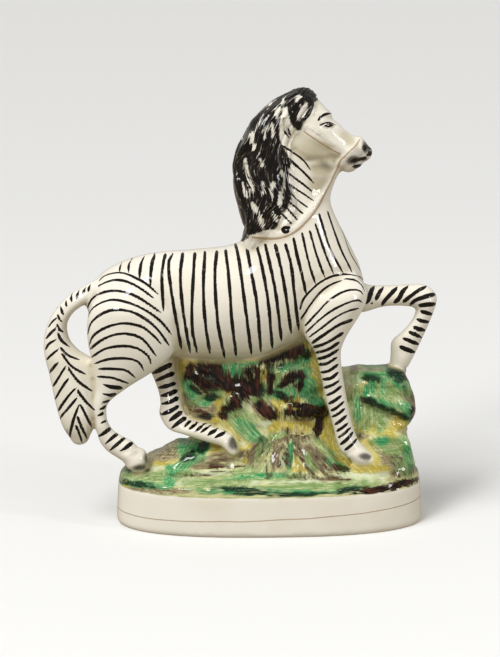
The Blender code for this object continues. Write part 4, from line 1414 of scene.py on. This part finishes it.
# %% Gilding, the mane and its bare places
UNPAINTED = -9.0  # millimetres outside the mane's outline, far enough for no paint at all
gilding = unpainted()
lay_strokes(gilding, GILT_STRAPS, 0.42, ("strap", "head", "rein"), 0.3, 0.3)
lay_strokes(gilding, GILT_REIN, 0.62, ("rein", "trunk", "throat"), 0.3, 0.3)
gilt = dial(gilding)


def inside_outline(where, outline):
    """Which points lie inside an outline, by counting the edges to the right of each."""
    odd = np.zeros(len(where), bool)
    for (x1, z1), (x2, z2) in zip(outline, outline[1:] + outline[:1]):
        crosses = (z1 > where[:, 1]) != (z2 > where[:, 1])
        edge_x = x1 + (x2 - x1) * (where[:, 1] - z1) / ((z2 - z1) or 1e-9)
        odd ^= crosses & (where[:, 0] < edge_x)
    return odd


closed = np.array(list(MANE_OUTLINE) + [MANE_OUTLINE[0]], float)
chosen, gap, _, _, _ = near_stroke(plane, closed, 30)
mane = np.full(len(points), UNPAINTED)
mane[chosen] = gap * np.where(inside_outline(plane[chosen], MANE_OUTLINE), 1, -1)
mane[~among(*MANE_FORMS, "trunk", "head", "rein", "ear", "throat")] = UNPAINTED
mane[part_of == "ear"] -= 2.0
mane += np.where(among("mane", "lock"), 5.0 * np.clip(0.55 - FACING, 0, 1), 0)
flecks = unpainted()
lay_strokes(flecks, FLECKS, 1.15, MANE_FORMS + ("trunk", "head"), 1.0, 2.0)
bare = np.clip(flecks["paint"], -6, 3)
brush_lean[mane > 0] = 90
print("mane paint on", int((mane > 0).sum()), "points")

# %% [markdown]
# Grey paint was laid on in soft patches with a nearly dry brush, on hooves and muzzle. The same
# patches also paint shade under the jaw, in the folds and under the raised hoof. These keep their
# soft edge.

# %% Soft grey paint and painted shade
# Grey paint on hooves and muzzle, and painted shade under the jaw, in folds and under the raised
# hoof
# across, up, half length, half width, lean
GREY_AND_SHADE_PATCHES = (
    (-60.8, 10.6, 3.4, 4.6, 20), (-19.3, 18.6, 4, 3.4, -20), (47, 10, 5, 2.4, -10),
    (66, 55, 5, 3.6, 0), (45.5, 161.5, 5.5, 3.6, 20), (48, 166.5, 3, 4.5, 10),
    (19, 161.5, 9, 2.2, 0), (7, 151, 8, 16, 15), (10, 141, 7, 9, 10), (-67.5, 13.6, 5, 2.6, 30),
    (44, 164, 6, 7, 20), (-101, 24, 5, 4, 60), (8.6, 176, 1.8, 8, 5), (27, 159, 8, 4, -35),
)
DARK_GREY_AND_SHADE_PATCHES = (
    (-60.0, 9.6, 3.6, 6.0, 18), (-64.5, 6.0, 5.5, 2.2, 4), (-17.4, 18.2, 4.8, 5.2, -14),
    (48.2, 10.4, 4.8, 2.6, -12), (67, 54, 6, 2.0, 0), (47.2, 167.4, 3.2, 5.0, 10),
    (41, 161.2, 5.2, 3.2, 12),
)
SPOTS = (
    (46.4, 167.2, 1.7, 2.0, -25), (49.0, 168.2, 1.5, 2.8, 10), (48.8, 164.2, 2.0, 1.6, 30),
    (45.2, 161.6, 3.6, 1.3, 14), (41.4, 160.9, 2.6, 1.5, 10), (43.0, 158.2, 3.0, 1.2, 10),
    (29.4, 178.9, 1.5, 0.8, 0), (50.6, 89.3, 0.9, 0.9, 0), (-54.2, 33.6, 0.9, 0.9, 0),
)


def soft_patches(dabs):
    """How deep every point of the animal is in the deepest of its dabs, as in_dab counts it."""
    weight = np.full(len(points), -1.0)
    for dab in dabs:
        weight = np.maximum(weight, in_dab(plane, dab))
    return np.where(is_ground, -1, weight)


# Grey paint and painted shade, from the light and the dark patches
soot = np.clip(soft_patches(GREY_AND_SHADE_PATCHES) * 0.6, 0, 1)
soot = np.maximum(soot, np.clip(soft_patches(DARK_GREY_AND_SHADE_PATCHES) * 1.7, 0, 1))
spots_of_ink = soft_patches(SPOTS)
print("grey patches:", len(GREY_AND_SHADE_PATCHES) + len(DARK_GREY_AND_SHADE_PATCHES), "ink spots:", len(SPOTS))

# %% [markdown]
# The ground is painted wet, in short dabs pulled in the direction of each rock: yellow next to the
# animal, two greens, a maroon brown on the ledges, a grey brown on the stump and pale glaze let
# through between them. Some of the pale dabs are painted highlights on the rocks and the turf, and
# some of the dark green dabs are painted shadows under the hooves and under the right rock's
# overhang. Each colour is a soft weight on the skin. The lean of the nearest dabs is kept as shares
# of four fixed directions, because streaks in fixed directions can be faded into each other without
# tearing.

# %% Dabs of ground colour
# across, up, half length, half width, lean
# Pale glaze let through, and painted highlights on the rocks and the turf
PALE_AND_HIGHLIGHT = (
    (64, 16, 3, 2, -20), (67, 9, 3, 1.5, -40), (-36, 58, 2, 1.5, -20), (43, 50, 4, 3.5, 0),
    (42, 38, 4, 1.5, -60), (61, 19, 4, 2, 10), (67, 13, 4, 2.5, -20), (-42, -2, 11, 2, 0),
    (-68, 1, 4, 1.2, 0), (-4, 27, 6, 1.5, 15), (-6, 39, 4, 1.8, 15), (-9, 16, 6, 4.5, 60),
    (-28, 3, 13, 1.2, 0), (15, -3, 21, 2, 0), (-11, -2, 11, 3, 5), (4, 11, 5, 1.5, 80),
    (19, 19, 3, 1.5, -60), (46, -2, 13, 2.5, 2), (38, -0, 11, 1.5, 5), (-15, 39, 4, 1.5, -60),
    (-19, 31, 4, 1.2, -60), (58, 1, 4, 1.2, 0), (38, 52, 8, 2, -82), (7, 8, 4, 1.2, 85),
    (-12, 36, 4, 2.5, -50), (30, 24, 3, 7, 0), (-55, 7, 6, 2.5, 5),
)
YELLOW = (
    (49, 27, 8, 2, 80), (52, 39, 4, 1.5, 80), (-40, 61, 8, 4.5, 0), (23, 58, 9, 3, -70),
    (28, 30, 10, 2.5, -80), (54, 45, 6, 2.5, 85), (61, 47, 5, 2, 80), (48, 33, 6, 2, 82),
    (57, 30, 6, 2, 75), (-40, 62, 6, 4, 0), (-44, 52, 14, 2.2, 90), (-43, 38, 6, 2.5, -60),
    (-37, 32, 8, 1.8, -25), (-24, 60, 8, 1.5, 3), (-7, 61, 8, 1.8, 8), (-21, 45, 4, 2.5, -30),
    (-25, 38, 8, 3.8, 82), (-28, 30, 5, 2.5, -10), (-16, 24, 9, 2.5, -42), (-3, 52, 6, 1.5, 82),
    (3, 52, 6, 1.8, 78), (22, 51, 14, 2.5, -70), (26, 39, 8, 2, -80), (11, 40, 7, 1.8, 0),
    (1, 42, 7, 2, -60), (4, 35, 7, 2, 82), (-4, 43, 4, 2, 40), (14, 26, 10, 3.2, 0),
    (3, 26, 6, 2.5, 60), (29, 22, 7, 3.5, 75), (13, 36, 4, 1.8, -5), (39, 8, 10, 2.5, -25),
    (52, 4, 11, 2, 3), (66, 27, 6, 3.5, -20), (56, 24, 12, 3, -25), (49, 26, 10, 2.5, -5),
    (55, 47, 8, 3.5, 80), (46, 42, 6, 2.5, 80), (-27, 16, 4, 3.5, 60), (-18, 13, 9, 2.5, 10),
    (-53, 8, 6, 2, 5), (-32, 20, 6, 1.5, -20), (-73, -3, 4, 1.5, -30), (13, 10, 7, 1.8, -62),
    (17, 69, 4, 3, -40), (50, 12, 9, 3.5, -35), (-9, 12, 6, 4, 60), (31, 16, 6, 2, -55),
    (15, 4, 8, 1.5, 0), (50, 15, 7, 3, -40),
)
TAN = (
    (-40, 40, 7, 3.5, -52), (-33, 36, 9, 3, -5), (-37, 32, 8, 2, -12), (-24, 10, 14, 3, 8),
    (-32, 7, 10, 2, 5), (-50, 14, 10, 3.5, 25), (-57, -6, 18, 1.5, -3), (-7, 11, 10, 3, 66),
    (4, 12, 8, 2.5, 82), (20, 11, 13, 5, -58), (26, 11, 10, 2.5, -52), (52, 57, 13, 2.2, -3),
    (68, 43, 8, 3, -55), (72, 38, 8, 2, -72), (60, 9, 9, 3, -45), (68, 3, 8, 3, 18),
    (6, 21, 7, 3, 12), (-3, 36, 7, 4, -50), (46, 21, 5, 1.5, 0), (42, 57, 2, 4.5, 0),
    (-7, 20, 4, 2, 40), (31, -1, 6, 1.2, 0), (10, -5, 13, 1.5, 0), (18, 30, 8, 1.1, 0),
)
LEAF = (
    (43, 41, 7, 3, 85), (57, 29, 6, 3, 75), (68, 15, 4, 5, 80), (1, 55, 5, 2, 88),
    (57, 42, 8, 3.5, -40), (49, 38, 7, 4, 70), (-15, 32, 10, 5, -42), (-29, 45, 7, 3, -15),
    (-33, 41, 8, 2.5, 10), (-39, 47, 7, 3.5, -55), (4, 51, 6, 2.5, 80), (-4, 41, 7, 2, 10),
    (51, 36, 11, 8, 70), (43, 34, 8, 4, 85), (61, 46, 7, 3.5, -55), (67, 46, 7, 4, -50),
    (62, 16, 10, 4.5, -10), (67, 7, 8, 4, -70), (-71, 3, 6, 3.5, 25), (-55, 1, 12, 3, 0),
    (-41, 10, 6, 2.5, 32), (-15, -0, 10, 4, 20), (15, -5, 25, 2, 0), (41, -4, 15, 2.5, 3),
    (-1, -0, 17, 2, 0), (-3, 16, 7, 2.5, 62), (21, 7, 6, 2, -60), (29, 13, 8, 2.5, -50),
    (-43, 3, 6, 1.2, 5), (-24, 48, 6, 1.8, -25), (26, 32, 4, 1.5, -80), (-31, -3, 13, 2.5, 0),
    (-12, 23, 7, 2.5, -38), (5, 22, 4, 1.5, 20),
)
GREEN = (
    (21, 43, 5, 2.5, -60), (18, 54, 4, 2.5, -75), (26, 38, 3, 2, -70), (48, 44, 4, 1.5, 85),
    (57, 47, 5, 1.5, 90), (-40, 46, 6, 2.5, -58), (-17, 56, 6, 4.5, 80), (-19, 60, 6, 1.5, 0),
    (-11, 59, 9, 1.5, 3), (8, 57, 8, 2.5, 5), (8, 44, 8, 4, 0), (19, 46, 10, 4.5, -66),
    (22, 41, 6, 3, -60), (12, 70, 6, 2.5, 20), (17, 60, 4, 3, 75), (-10, 25, 8, 3, -36),
    (-7, 22, 4, 3, -40), (53, 52, 11, 2.5, -3), (51, 47, 6, 2, 85), (64, 50, 7, 3, -40),
    (68, 34, 6, 3, -60), (70, 11, 8, 2, -80), (56, 18, 4, 2.5, 0), (-41, 16, 6, 3.5, 15),
    (-35, 14, 6, 3.5, 58), (-44, 6, 8, 2.5, 35), (-49, 3, 4, 2.5, -70), (-63, -3, 11, 1.8, -8),
    (-17, -7, 17, 1.8, 0), (10, 11, 8, 2, 82), (34, 6, 6, 2, -32), (-4, 1, 16, 1.5, 2),
    (-31, 40, 5, 2, 20), (4, 44, 5, 2, -80), (10, -8, 30, 1.2, 1), (44, 35, 7, 2, 85),
    (57, 37, 7, 2.5, -20), (-50, -2, 4, 2.5, -60), (-4, 46, 4, 3, 0), (-23, 57, 3, 2.5, 80),
)
# Dark green paint, and painted shadows under the hooves and under the right rock's overhang
DARK_GREEN_AND_SHADOW = (
    (65, 52, 4, 3, 0), (-26, 59, 4, 2, 5), (-27, 54, 7, 4.5, 85), (-34, 50, 8, 3, -35),
    (-21, 48, 8, 2.5, -25), (-15, 51, 4, 3, -60), (8, 68, 6, 2, 28), (17, 65, 4, 2.5, -60),
    (-8, 44, 7, 2.5, 0), (6, 42, 6, 1.8, -25), (63, 54, 5, 3, -25), (67, 53, 4, 3.5, 0),
    (51, 51, 5, 2, -5), (50, 39, 4, 2, -35), (58, 35, 8, 1.5, -25), (65, 32, 6, 1.8, -25),
    (72, 32, 4, 2.5, -65), (-67, 5, 6, 1.5, 0), (-65, -3, 10, 1.5, -8), (-33, 17, 5, 2.5, 55),
    (-16, -6, 14, 1.5, -2), (-7, -8, 12, 1.2, 0), (41, -7, 7, 1.8, 5), (-29, 42, 4, 2, 0),
    (-32, 32, 4, 1.5, 0), (-37, 46, 4, 1.5, -40), (37, 4, 4, 1.8, -25), (25, 33, 2, 5, -5),
    (13, -9, 18, 1.1, 1), (-40, 12, 4, 2.5, 40), (-10, 46, 6, 4, 20),
)
BROWN = (
    (-24, 51, 9, 3.5, -22), (-12, 49, 5, 3, 0), (-29, 58, 5, 2, 0), (-33, 56, 6, 4.5, -12),
    (-36, 51, 7, 3, -48), (-30, 48, 8, 2.2, 8), (-19, 47, 7, 2.5, -12), (-8, 53, 6, 4.8, 88),
    (-10, 45, 6, 4, 30), (-15, 42, 7, 4, 48), (-19, 38, 6, 3, 50), (-23, 32, 2, 2.5, 60),
    (6, 63, 11, 4.5, 17), (0, 61, 6, 3, 15), (13, 66, 5, 3, 10), (1, 50, 8, 2, 88),
    (12, 52, 6, 3.2, 17), (7, 48, 4, 1.5, 20), (15, 47, 4, 2, 80), (-3, 35, 6, 2.5, -48),
    (2, 33, 4, 2.5, -60), (17, 37, 8, 2, -12), (17, 33, 10, 2.8, 0), (25, 34, 4, 4.5, 85),
    (25, 27, 6, 2.5, 78), (59, -6, 18, 1.9, 11), (66, -4, 10, 1.5, 14), (-40, 55, 4, 2, 70),
)
BROWN_STREAKS = (
    (15, 11, 12, 2.5, -62), (1, 10, 8, 2, 84), (8, 13, 8, 3, 80), (26, 8, 11, 3, -52),
    (-6, 15, 7, 2.5, 58), (13, 20, 7, 2, 8), (-22, 6, 9, 2.5, 5), (-41, 2, 8, 1.2, 0),
    (-16, 11, 7, 2, 10), (-40, 38, 6, 2.5, -45), (-35, 33, 8, 2, -30), (69, 3, 6, 2.5, 20),
    (64, 8, 6, 2.5, -40), (71, 40, 6, 2, -65), (48, 39, 4, 1.5, -40), (32, 3, 7, 2.5, -20),
    (21, 0, 11, 1.5, -2), (-24, 54, 8, 2, -50), (16, 40, 8, 2, 0), (-4, 39, 4, 2, -50),
)

# %% Lean of the streaks
STREAKS = (
    # across, up, reach, lean
    (-32, 55, 7, 118), (-40, 45, 6, 112), (-35, 36, 7, 170), (-29, 45, 5, 155), (-17, 57, 5, 90),
    (-8, 52, 6, 95), (-15, 60, 4, 0), (0, 50, 4, 88), (6, 64, 10, 95), (9, 56, 5, 85),
    (12, 52, 4, 17), (9, 44, 8, 88), (19, 46, 8, 115), (17, 34, 8, 90), (-27, -7, 6, 2),
    (-5, -8, 6, 0), (15, -9, 6, 0), (36, -8, 6, 2), (56, -6, 6, 10), (-60, -4, 6, 172),
    (25, 33, 4, 78), (-20, 38, 6, 128), (-10, 45, 5, 120), (-12, 27, 9, 142), (-4, 35, 6, 130),
    (14, 26, 7, 88), (-24, 39, 6, 80), (0, 40, 4, 120), (22, 53, 5, 110), (29, 21, 5, 75),
    (-6, 11, 6, 66), (4, 11, 4, 84), (19, 11, 9, 122), (33, 8, 5, 145), (-50, 14, 8, 25),
    (-24, 9, 9, 8), (-35, 15, 5, 58), (-43, 8, 5, 35), (52, 57, 10, 178), (53, 49, 9, 96),
    (44, 37, 7, 82), (52, 33, 6, 75), (63, 47, 7, 122), (59, 35, 6, 155), (70, 38, 6, 112),
    (66, 27, 5, 150), (58, 23, 7, 150), (62, 16, 7, 165), (68, 8, 6, 115), (49, 11, 6, 145),
    (40, 8, 5, 155), (-71, 1, 6, 25), (-15, -1, 6, 28), (-49, 3, 4, 110), (-10, 16, 4, 60),
    (38, 52, 5, 98), (-16, 23, 5, 140),
)
DIRECTIONS = (0.0, 50.0, 90.0, 130.0)


def shares_of_lean(lean):
    """How much of each fixed direction is in a lean, in degrees. The shares sum to 1."""
    apart = np.abs((np.asarray(lean)[..., None] - np.array(DIRECTIONS) + 90) % 180 - 90)
    share = np.clip(1 - apart / 48, 0.0, 1) + 0.02
    return share / share.sum(axis=-1, keepdims=True)


def lay_dabs(dabs):
    """The weight of a colour, a half at the edge of its dabs. Their outlines are uneven."""
    weight = np.zeros(len(points))
    for k, (x, z, half_x, half_z, lean) in enumerate(dabs):
        wander = 0.12 * np.sin(0.9 * plane[:, 0] + 2.3 * k)
        wander += 0.12 * np.sin(0.8 * plane[:, 1] + 1.1 * k)
        inside = in_dab(plane, (x, z, 1.12 * half_x, 1.15 * half_z, lean)) + wander
        inside = np.clip(0.5 + 0.85 * inside, 0, 1)
        weight = np.maximum(weight, inside)
    return weight


# Far from every entry the brush ran along the rim, and upright higher up
lean_sum = 0.03 * shares_of_lean(np.where(points[:, 2] < 6, 3.0, 88.0))
for x, z, reach, lean in STREAKS:
    near = np.exp(-(np.hypot(plane[:, 0] - x, plane[:, 1] - z) / reach) ** 2)
    lean_sum += (near * np.clip((points[:, 2] + 1) / 3, 0, 1))[:, None] * shares_of_lean(lean)
pale_and_highlight, yellow, tan = lay_dabs(PALE_AND_HIGHLIGHT), lay_dabs(YELLOW), lay_dabs(TAN)
leaf, green, dark_green_and_shadow = lay_dabs(LEAF), lay_dabs(GREEN), lay_dabs(DARK_GREEN_AND_SHADOW)
brown = np.maximum(lay_dabs(BROWN), np.minimum(lay_dabs(BROWN_STREAKS), 0.5))
lean_sum /= lean_sum.sum(axis=1, keepdims=True)
brush = np.where(is_ground[:, None], lean_sum, shares_of_lean(brush_lean))
light_dabs, dark_dabs = (PALE_AND_HIGHLIGHT, YELLOW, TAN, LEAF), (GREEN, DARK_GREEN_AND_SHADOW, BROWN, BROWN_STREAKS)
print("dabs:", sum(len(dabs) for dabs in light_dabs + dark_dabs))

# %% [markdown]
# Glaze runs thin over edges and gathers in hollows, where it looks deeper and warmer. The same
# field also paints shade: darker, warmer glaze in hollows, on undersides, and in patches on the
# cheek, the throat and the nose. How far the skin dips in at a point is read from its neighbours:
# where it dips, their average lies above the point.

# %% Hollows, undersides and painted shade
# Patches of painted shade on the cheek, the throat and the nose
POOL_AND_SHADE_PATCHES = ((21, 165, 16, 11, -25), (24, 152, 14, 7, 60), (38, 172, 9, 4, -40))  # cheek, throat, nose
# How much darker and warmer the painted shade makes the glaze on undersides and in the patches
POOL_AND_SHADE_DEPTH = 0.45  # how much deeper the glaze looks in a pool or on an underside
edges = np.empty(2 * len(figure_mesh.edges), np.int32)
figure_mesh.edges.foreach_get("vertices", edges)
edges = edges.reshape(-1, 2)
neighbours = np.bincount(edges.ravel(), minlength=len(points))


def averaged(values, passes):
    """Each point's value replaced by its neighbours' mean, some times over."""
    for _ in range(passes):
        total = np.bincount(edges[:, 0], values[edges[:, 1]], len(points))
        total += np.bincount(edges[:, 1], values[edges[:, 0]], len(points))
        values = total / np.maximum(neighbours, 1)
    return values


normals = skin_normals()
smooth = np.stack([averaged(moved[:, k], 8) for k in range(3)], axis=1)
hollow = averaged(((smooth - moved) * normals).sum(axis=1), 2)
# Painted shade on undersides, and in patches on the cheek, the throat and the nose
hollow += POOL_AND_SHADE_DEPTH * np.clip(-averaged(normals[:, 2], 3) - 0.05, 0, 1)
for pool in POOL_AND_SHADE_PATCHES:
    hollow += np.where(is_ground, 0, POOL_AND_SHADE_DEPTH * np.clip(1.5 * in_dab(plane, pool), 0, 1))
print("hollow, 5% to 95%:", np.percentile(hollow, (5, 50, 95)).round(2))

# %% Put the fields on the mesh
def keep_field(name, values):
    """Stores a number, or three, for every point of the skin, where the shader can read it."""
    kind, slot = ("FLOAT", "value") if values.ndim == 1 else ("FLOAT_VECTOR", "vector")
    layer = figure_mesh.attributes.new(name, kind, "POINT")
    layer.data.foreach_set(slot, values.astype(np.float32).ravel())


for name, values in (
    ("stripe", stripe),
    ("crossing_stripe", crossing_stripe),
    ("gilt", gilt),
    ("ink_spot", spots_of_ink),
    ("mane_paint", mane),
    ("bare_hair", bare),
    ("hair", hair[:, [2, 1, 0]]),
    ("soot", averaged(soot, 1)),
    ("animal", to_ground - to_zebra),
    ("hollow", hollow),
    ("brush", brush[:, :3]),
    ("ground_light", np.stack([pale_and_highlight, yellow, tan], axis=1)),
    ("ground_green", np.stack([leaf, green, dark_green_and_shadow], axis=1)),
    ("ground_brown", brown),
):
    keep_field(name, values)
print("fields:", [layer.name for layer in figure_mesh.attributes if not layer.is_internal])

# %% [markdown]
# The glaze is one material over the whole figure. Its colour is built up as a painter would: cream
# body with painted shade in hollows and on undersides, grey patches that are paint on hooves and
# muzzle and painted shade in the folds, stripes, mane, gilding, then the ground colours from light
# to dark, and last the edge between animal and ground. All of it lies under a clear coat, so the
# gloss is the same everywhere. Brush hairs leave streaks, which are noise pulled out along the
# brush's direction.

# %% Streaks of a brush
GLAZE = pigment(245, 240, 226)
GLAZE_POOL_AND_SHADE = pigment(196, 186, 154)
INK = pigment(20, 15, 11)
INK_WORN = pigment(84, 62, 44)
GREY = pigment(58, 49, 42)
MANE_INK = pigment(17, 14, 12)
MANE_WORN = pigment(84, 68, 52)

material, shader, start = new_material("glazed_earthenware_painted")
place = start.make("ShaderNodeTexCoord", output="Object")
to_right, away_y, upward = place.parts()


def streak(lean, long, fine, seed):
    """Noise in streaks that lie along a lean in the side view, long and fine in cells per metre."""
    c, s = math.cos(math.radians(lean)), math.sin(math.radians(lean))
    stretched = start.make(
        "ShaderNodeCombineXYZ",
        inputs={
            "X": place.along((c, 0, s)) * long + seed,
            "Y": place.along((-s, 0, c)) * fine,
            "Z": away_y * (0.6 * fine),
        },
    )
    return stretched.mottle(1.0, 3.0, 0.6)


east, rising, north = start.painted("brush", "Vector").parts()
brush_shares = (east, rising, north, 1 - east - rising - north)


def brushed(long, fine, seed):
    """Streaks that follow the brush everywhere on the figure."""
    streaks = []
    for k, (share, lean) in enumerate(zip(brush_shares, DIRECTIONS)):
        streaks.append(share * streak(lean, long, fine, seed + 3 * k))
    return streaks[0] + streaks[1] + streaks[2] + streaks[3]


coarse_streak = brushed(70, 560, 0.0)
fine_streak = brushed(95, 1450, 20.0)
speck = place.mottle(900.0, 2.0, 0.6)
drift = place.mottle(45.0, 2.0, 0.5)

# %% Cream glaze with painted shade, grey paint and shade patches, and stripes
pool_and_shade_field = start.painted("hollow")
pool_and_shade_mask = (pool_and_shade_field + (drift - 0.5) * 0.25).rise(0.02, 0.55)


def plain_colour(colour):
    """One colour as a wire, so that others can be mixed into it."""
    wire = start.make("ShaderNodeRGB")
    wire.output.default_value = colour
    return wire


# Glaze pooling and painted shade: darker, warmer glaze in hollows and on undersides
clay_colour = plain_colour(GLAZE).mixed(GLAZE_POOL_AND_SHADE, pool_and_shade_mask * 0.85)
clay_colour = clay_colour.mixed(pigment(232, 222, 196), drift.rise(0.42, 0.7) * 0.35)
# Grey paint on hooves and muzzle, and painted shade under the jaw and in the folds
grey_and_shade_mask = (start.painted("soot") + (fine_streak - 0.5) * 0.4).rise(0.05, 0.95)
clay_colour = clay_colour.mixed(GREY, grey_and_shade_mask * 0.9)


def inside_stroke(name, ragged):
    """How far a place is inside a stroke, as an angle of its dial."""
    cosine, sine, edge = start.painted(name, "Vector").parts()
    turned = start.make("ShaderNodeMath", {"operation": "ARCTAN2"}, {0: sine, 1: cosine})
    return edge - abs(turned) + ragged


ragged_edge = (speck - 0.5) * 0.6 + (fine_streak - 0.5) * 0.6
in_stripe = inside_stroke("stripe", ragged_edge)
on_crossing = inside_stroke("crossing_stripe", ragged_edge)
in_stripe = in_stripe.larger(on_crossing)
stripe_mask = in_stripe.rise(-0.12, 0.14)
spot_mask = (start.painted("ink_spot") + (speck - 0.5) * 0.8).rise(0.0, 0.35)
stripe_mask = stripe_mask.larger(spot_mask)
worn = (fine_streak + (coarse_streak - 0.5) * 0.8).rise(0.60, 0.78)
ink_colour = plain_colour(INK).mixed(INK_WORN, worn * 0.55 + in_stripe.rise(0.25, 0.0) * 0.15)
animal_colour = clay_colour.mixed(ink_colour, stripe_mask * (1 - worn * 0.3))

# %% Mane
hair_across, hair_down, _ = start.painted("hair", "Vector").parts()


def hair_streak(fine, long, seed):
    """Streaks down the mane, fine and long in cells per millimetre across and down."""
    pulled = start.make(
        "ShaderNodeCombineXYZ", inputs={"X": hair_across * fine, "Y": hair_down * long, "Z": seed}
    )
    return pulled.mottle(1.0, 3.0, 0.65)


lock_streak = hair_streak(0.42, 0.055, 1.0)
thin_streak = hair_streak(1.5, 0.11, 7.0)
mane_field = start.painted("mane_paint")
mane_mask = (mane_field + (thin_streak - 0.5) * 3.0 + (lock_streak - 0.5) * 1.5).rise(-0.25, 0.35)
gap_streak = (thin_streak * 0.65 + lock_streak * 0.35).rise(0.575, 0.64)
fleck = start.painted("bare_hair") + (thin_streak - 0.5) * 6.5 + (lock_streak - 0.5) * 3.0
fleck = fleck.rise(-0.1, 0.5)
deep_inside = mane_field.rise(5.0, 0.5) * 0.35 + 0.65
mane_mask = mane_mask * (1 - fleck * 0.92) * (1 - gap_streak * deep_inside * 0.9)
scuffed = thin_streak.rise(0.52, 0.64) * 0.5
mane_colour = plain_colour(MANE_INK).mixed(MANE_WORN, scuffed)
animal_colour = animal_colour.mixed(mane_colour, mane_mask)

# %% Gilding
GILT = pigment(166, 128, 74)
in_gilt = inside_stroke("gilt", (speck - 0.5) * 0.7 + (coarse_streak - 0.5) * 0.5)
gilt_mask = in_gilt.rise(-0.05, 0.2)
animal_colour = animal_colour.mixed(GILT, gilt_mask * 0.72)

# %% [markdown]
# A ground colour is laid where its weight, roughened by the streaks, passes a half. Within each
# colour the paint is thin on the ridges of the streaks and thick between them, so every one has a
# light and a dark tone.

# %% Ground colours
pale_and_highlight, yellow, tan = start.painted("ground_light", "Vector").parts()
leaf, green, dark_green_and_shadow = start.painted("ground_green", "Vector").parts()
brown = start.painted("ground_brown")


def wash(under, weight, dark, light, spread=0.9, tone=fine_streak):
    """Lays one streaky colour, dark where thick and light where thin, over another."""
    edge = weight + (coarse_streak - 0.5) * spread * 2.2 + (fine_streak - 0.5) * spread * 1.5
    thinness = (tone + (coarse_streak - 0.5) * 0.5).rise(0.42, 0.68)
    body = plain_colour(pigment(*dark)).mixed(pigment(*light), thinness)
    return under.mixed(body, edge.rise(0.26, 0.82))


WASHES = (
    # weight, where thick, where thin
    # Pale glaze, and painted highlights
    (pale_and_highlight, (198, 208, 164), (242, 242, 216)),
    (yellow, (182, 164, 62), (246, 231, 146)),
    (tan, (120, 107, 76), (206, 193, 156)),
    (leaf, (116, 148, 84), (204, 212, 160)),
    (green, (46, 142, 88), (180, 210, 148)),
    # Dark green paint, and painted shadows
    (dark_green_and_shadow, (5, 36, 24), (38, 84, 54)),
)
ground_colour = plain_colour(pigment(214, 212, 158))
ground_colour = ground_colour.mixed(pigment(152, 164, 98), coarse_streak.rise(0.42, 0.62) * 0.8)
for weight, thick, thin in WASHES:
    ground_colour = wash(ground_colour, weight, thick, thin)
hair_line = brushed(55, 1900, 40.0)
ground_colour = ground_colour.mixed(pigment(230, 224, 170), hair_line.rise(0.55, 0.68) * 0.5)
ground_colour = ground_colour.mixed(pigment(34, 44, 20), hair_line.rise(0.45, 0.32) * 0.38)
brown_tone = coarse_streak * 0.6 + hair_line * 0.34
ground_colour = wash(ground_colour, brown, (13, 5, 3), (92, 52, 36), 1.0, brown_tone)
# Painted shade: the ground darker in its hollows and on undersides
ground_colour = ground_colour.mixed(pigment(44, 40, 22), pool_and_shade_field.rise(0.3, 1.0) * 0.4)

# %% [markdown]
# The white band is ground too, but only glazed. Its upper edge follows the turf's brush, and a thin
# gilt line runs round it, a little lower at the left. The very foot was wiped clean of glaze and
# shows the bare clay.

# %% Band, gilt line and the last edge
TURF_EDGE = (19.7, 20.5)  # millimetres above the table
LINE_HEIGHT = 9.0  # of the gilt line, at the middle of the plinth
LINE_SLANT = 0.032  # how much it rises for each millimetre to the right
LINE_BEND = 180  # millimetres that it bends up within one metre
LINE_HALF_WIDTH = 0.26

height = upward * 1000
turf_mask = (height + (coarse_streak - 0.5) * 1.2).rise(*TURF_EDGE)
line_height = to_right * 1000 * LINE_SLANT + to_right * to_right * LINE_BEND + LINE_HEIGHT
off_line = abs(height - line_height - (drift - 0.5) * 1.2)
in_line = (LINE_HALF_WIDTH - off_line + (speck - 0.5) * 0.25).rise(-0.06, 0.08)
gilt_line = in_line * (0.55 + fine_streak * 0.6)
band_colour = clay_colour.mixed(pigment(150, 118, 72), gilt_line * 0.85)
ground_colour = band_colour.mixed(ground_colour, turf_mask)
animal_field = start.painted("animal")
beside_animal = (animal_field + (fine_streak - 0.5) * 3.0).rise(-3.2, -0.2)
ground_colour = ground_colour.mixed(pigment(222, 210, 150), beside_animal * turf_mask * 0.55)
animal_mask = (animal_field + (fine_streak - 0.5) * 1.2).rise(-0.5, 0.5)
colour = ground_colour.mixed(animal_colour, animal_mask)
bare_foot = (height + (speck - 0.5) * 0.3).rise(0.45, 0.25)
colour = colour.mixed(pigment(214, 200, 172), bare_foot)
start.tree.links.new(colour.output, shader.inputs["Base Color"])

# %% Gloss and relief
rough = (speck - 0.5) * 0.10 + 0.22 + bare_foot * 0.5 + worn * stripe_mask * 0.15
start.tree.links.new(rough.output, shader.inputs["Roughness"])
start.tree.links.new((1 - bare_foot).output, shader.inputs["Coat Weight"])
shader.inputs["Coat Roughness"].default_value = 0.06
shader.inputs["Coat IOR"].default_value = 1.42
shader.inputs["Specular IOR Level"].default_value = 0.0
ridge = fine_streak * (1 - animal_mask) * turf_mask * 0.35 + stripe_mask * animal_mask * 0.12
ridge = ridge + thin_streak * mane_mask * 0.9 + place.mottle(160.0, 2.0, 0.5) * 0.5
relief = start.make(
    "ShaderNodeBump", None, {"Strength": 0.55, "Distance": 0.00035, "Height": ridge}, "Normal"
)
start.tree.links.new(relief.output, shader.inputs["Normal"])
figure_mesh.materials.append(material)
print("glaze nodes:", len(material.node_tree.nodes))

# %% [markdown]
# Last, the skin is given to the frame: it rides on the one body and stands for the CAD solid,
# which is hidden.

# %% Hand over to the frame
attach(figure, "root")
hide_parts("zebra_figurine")
bpy.context.view_layer.update()
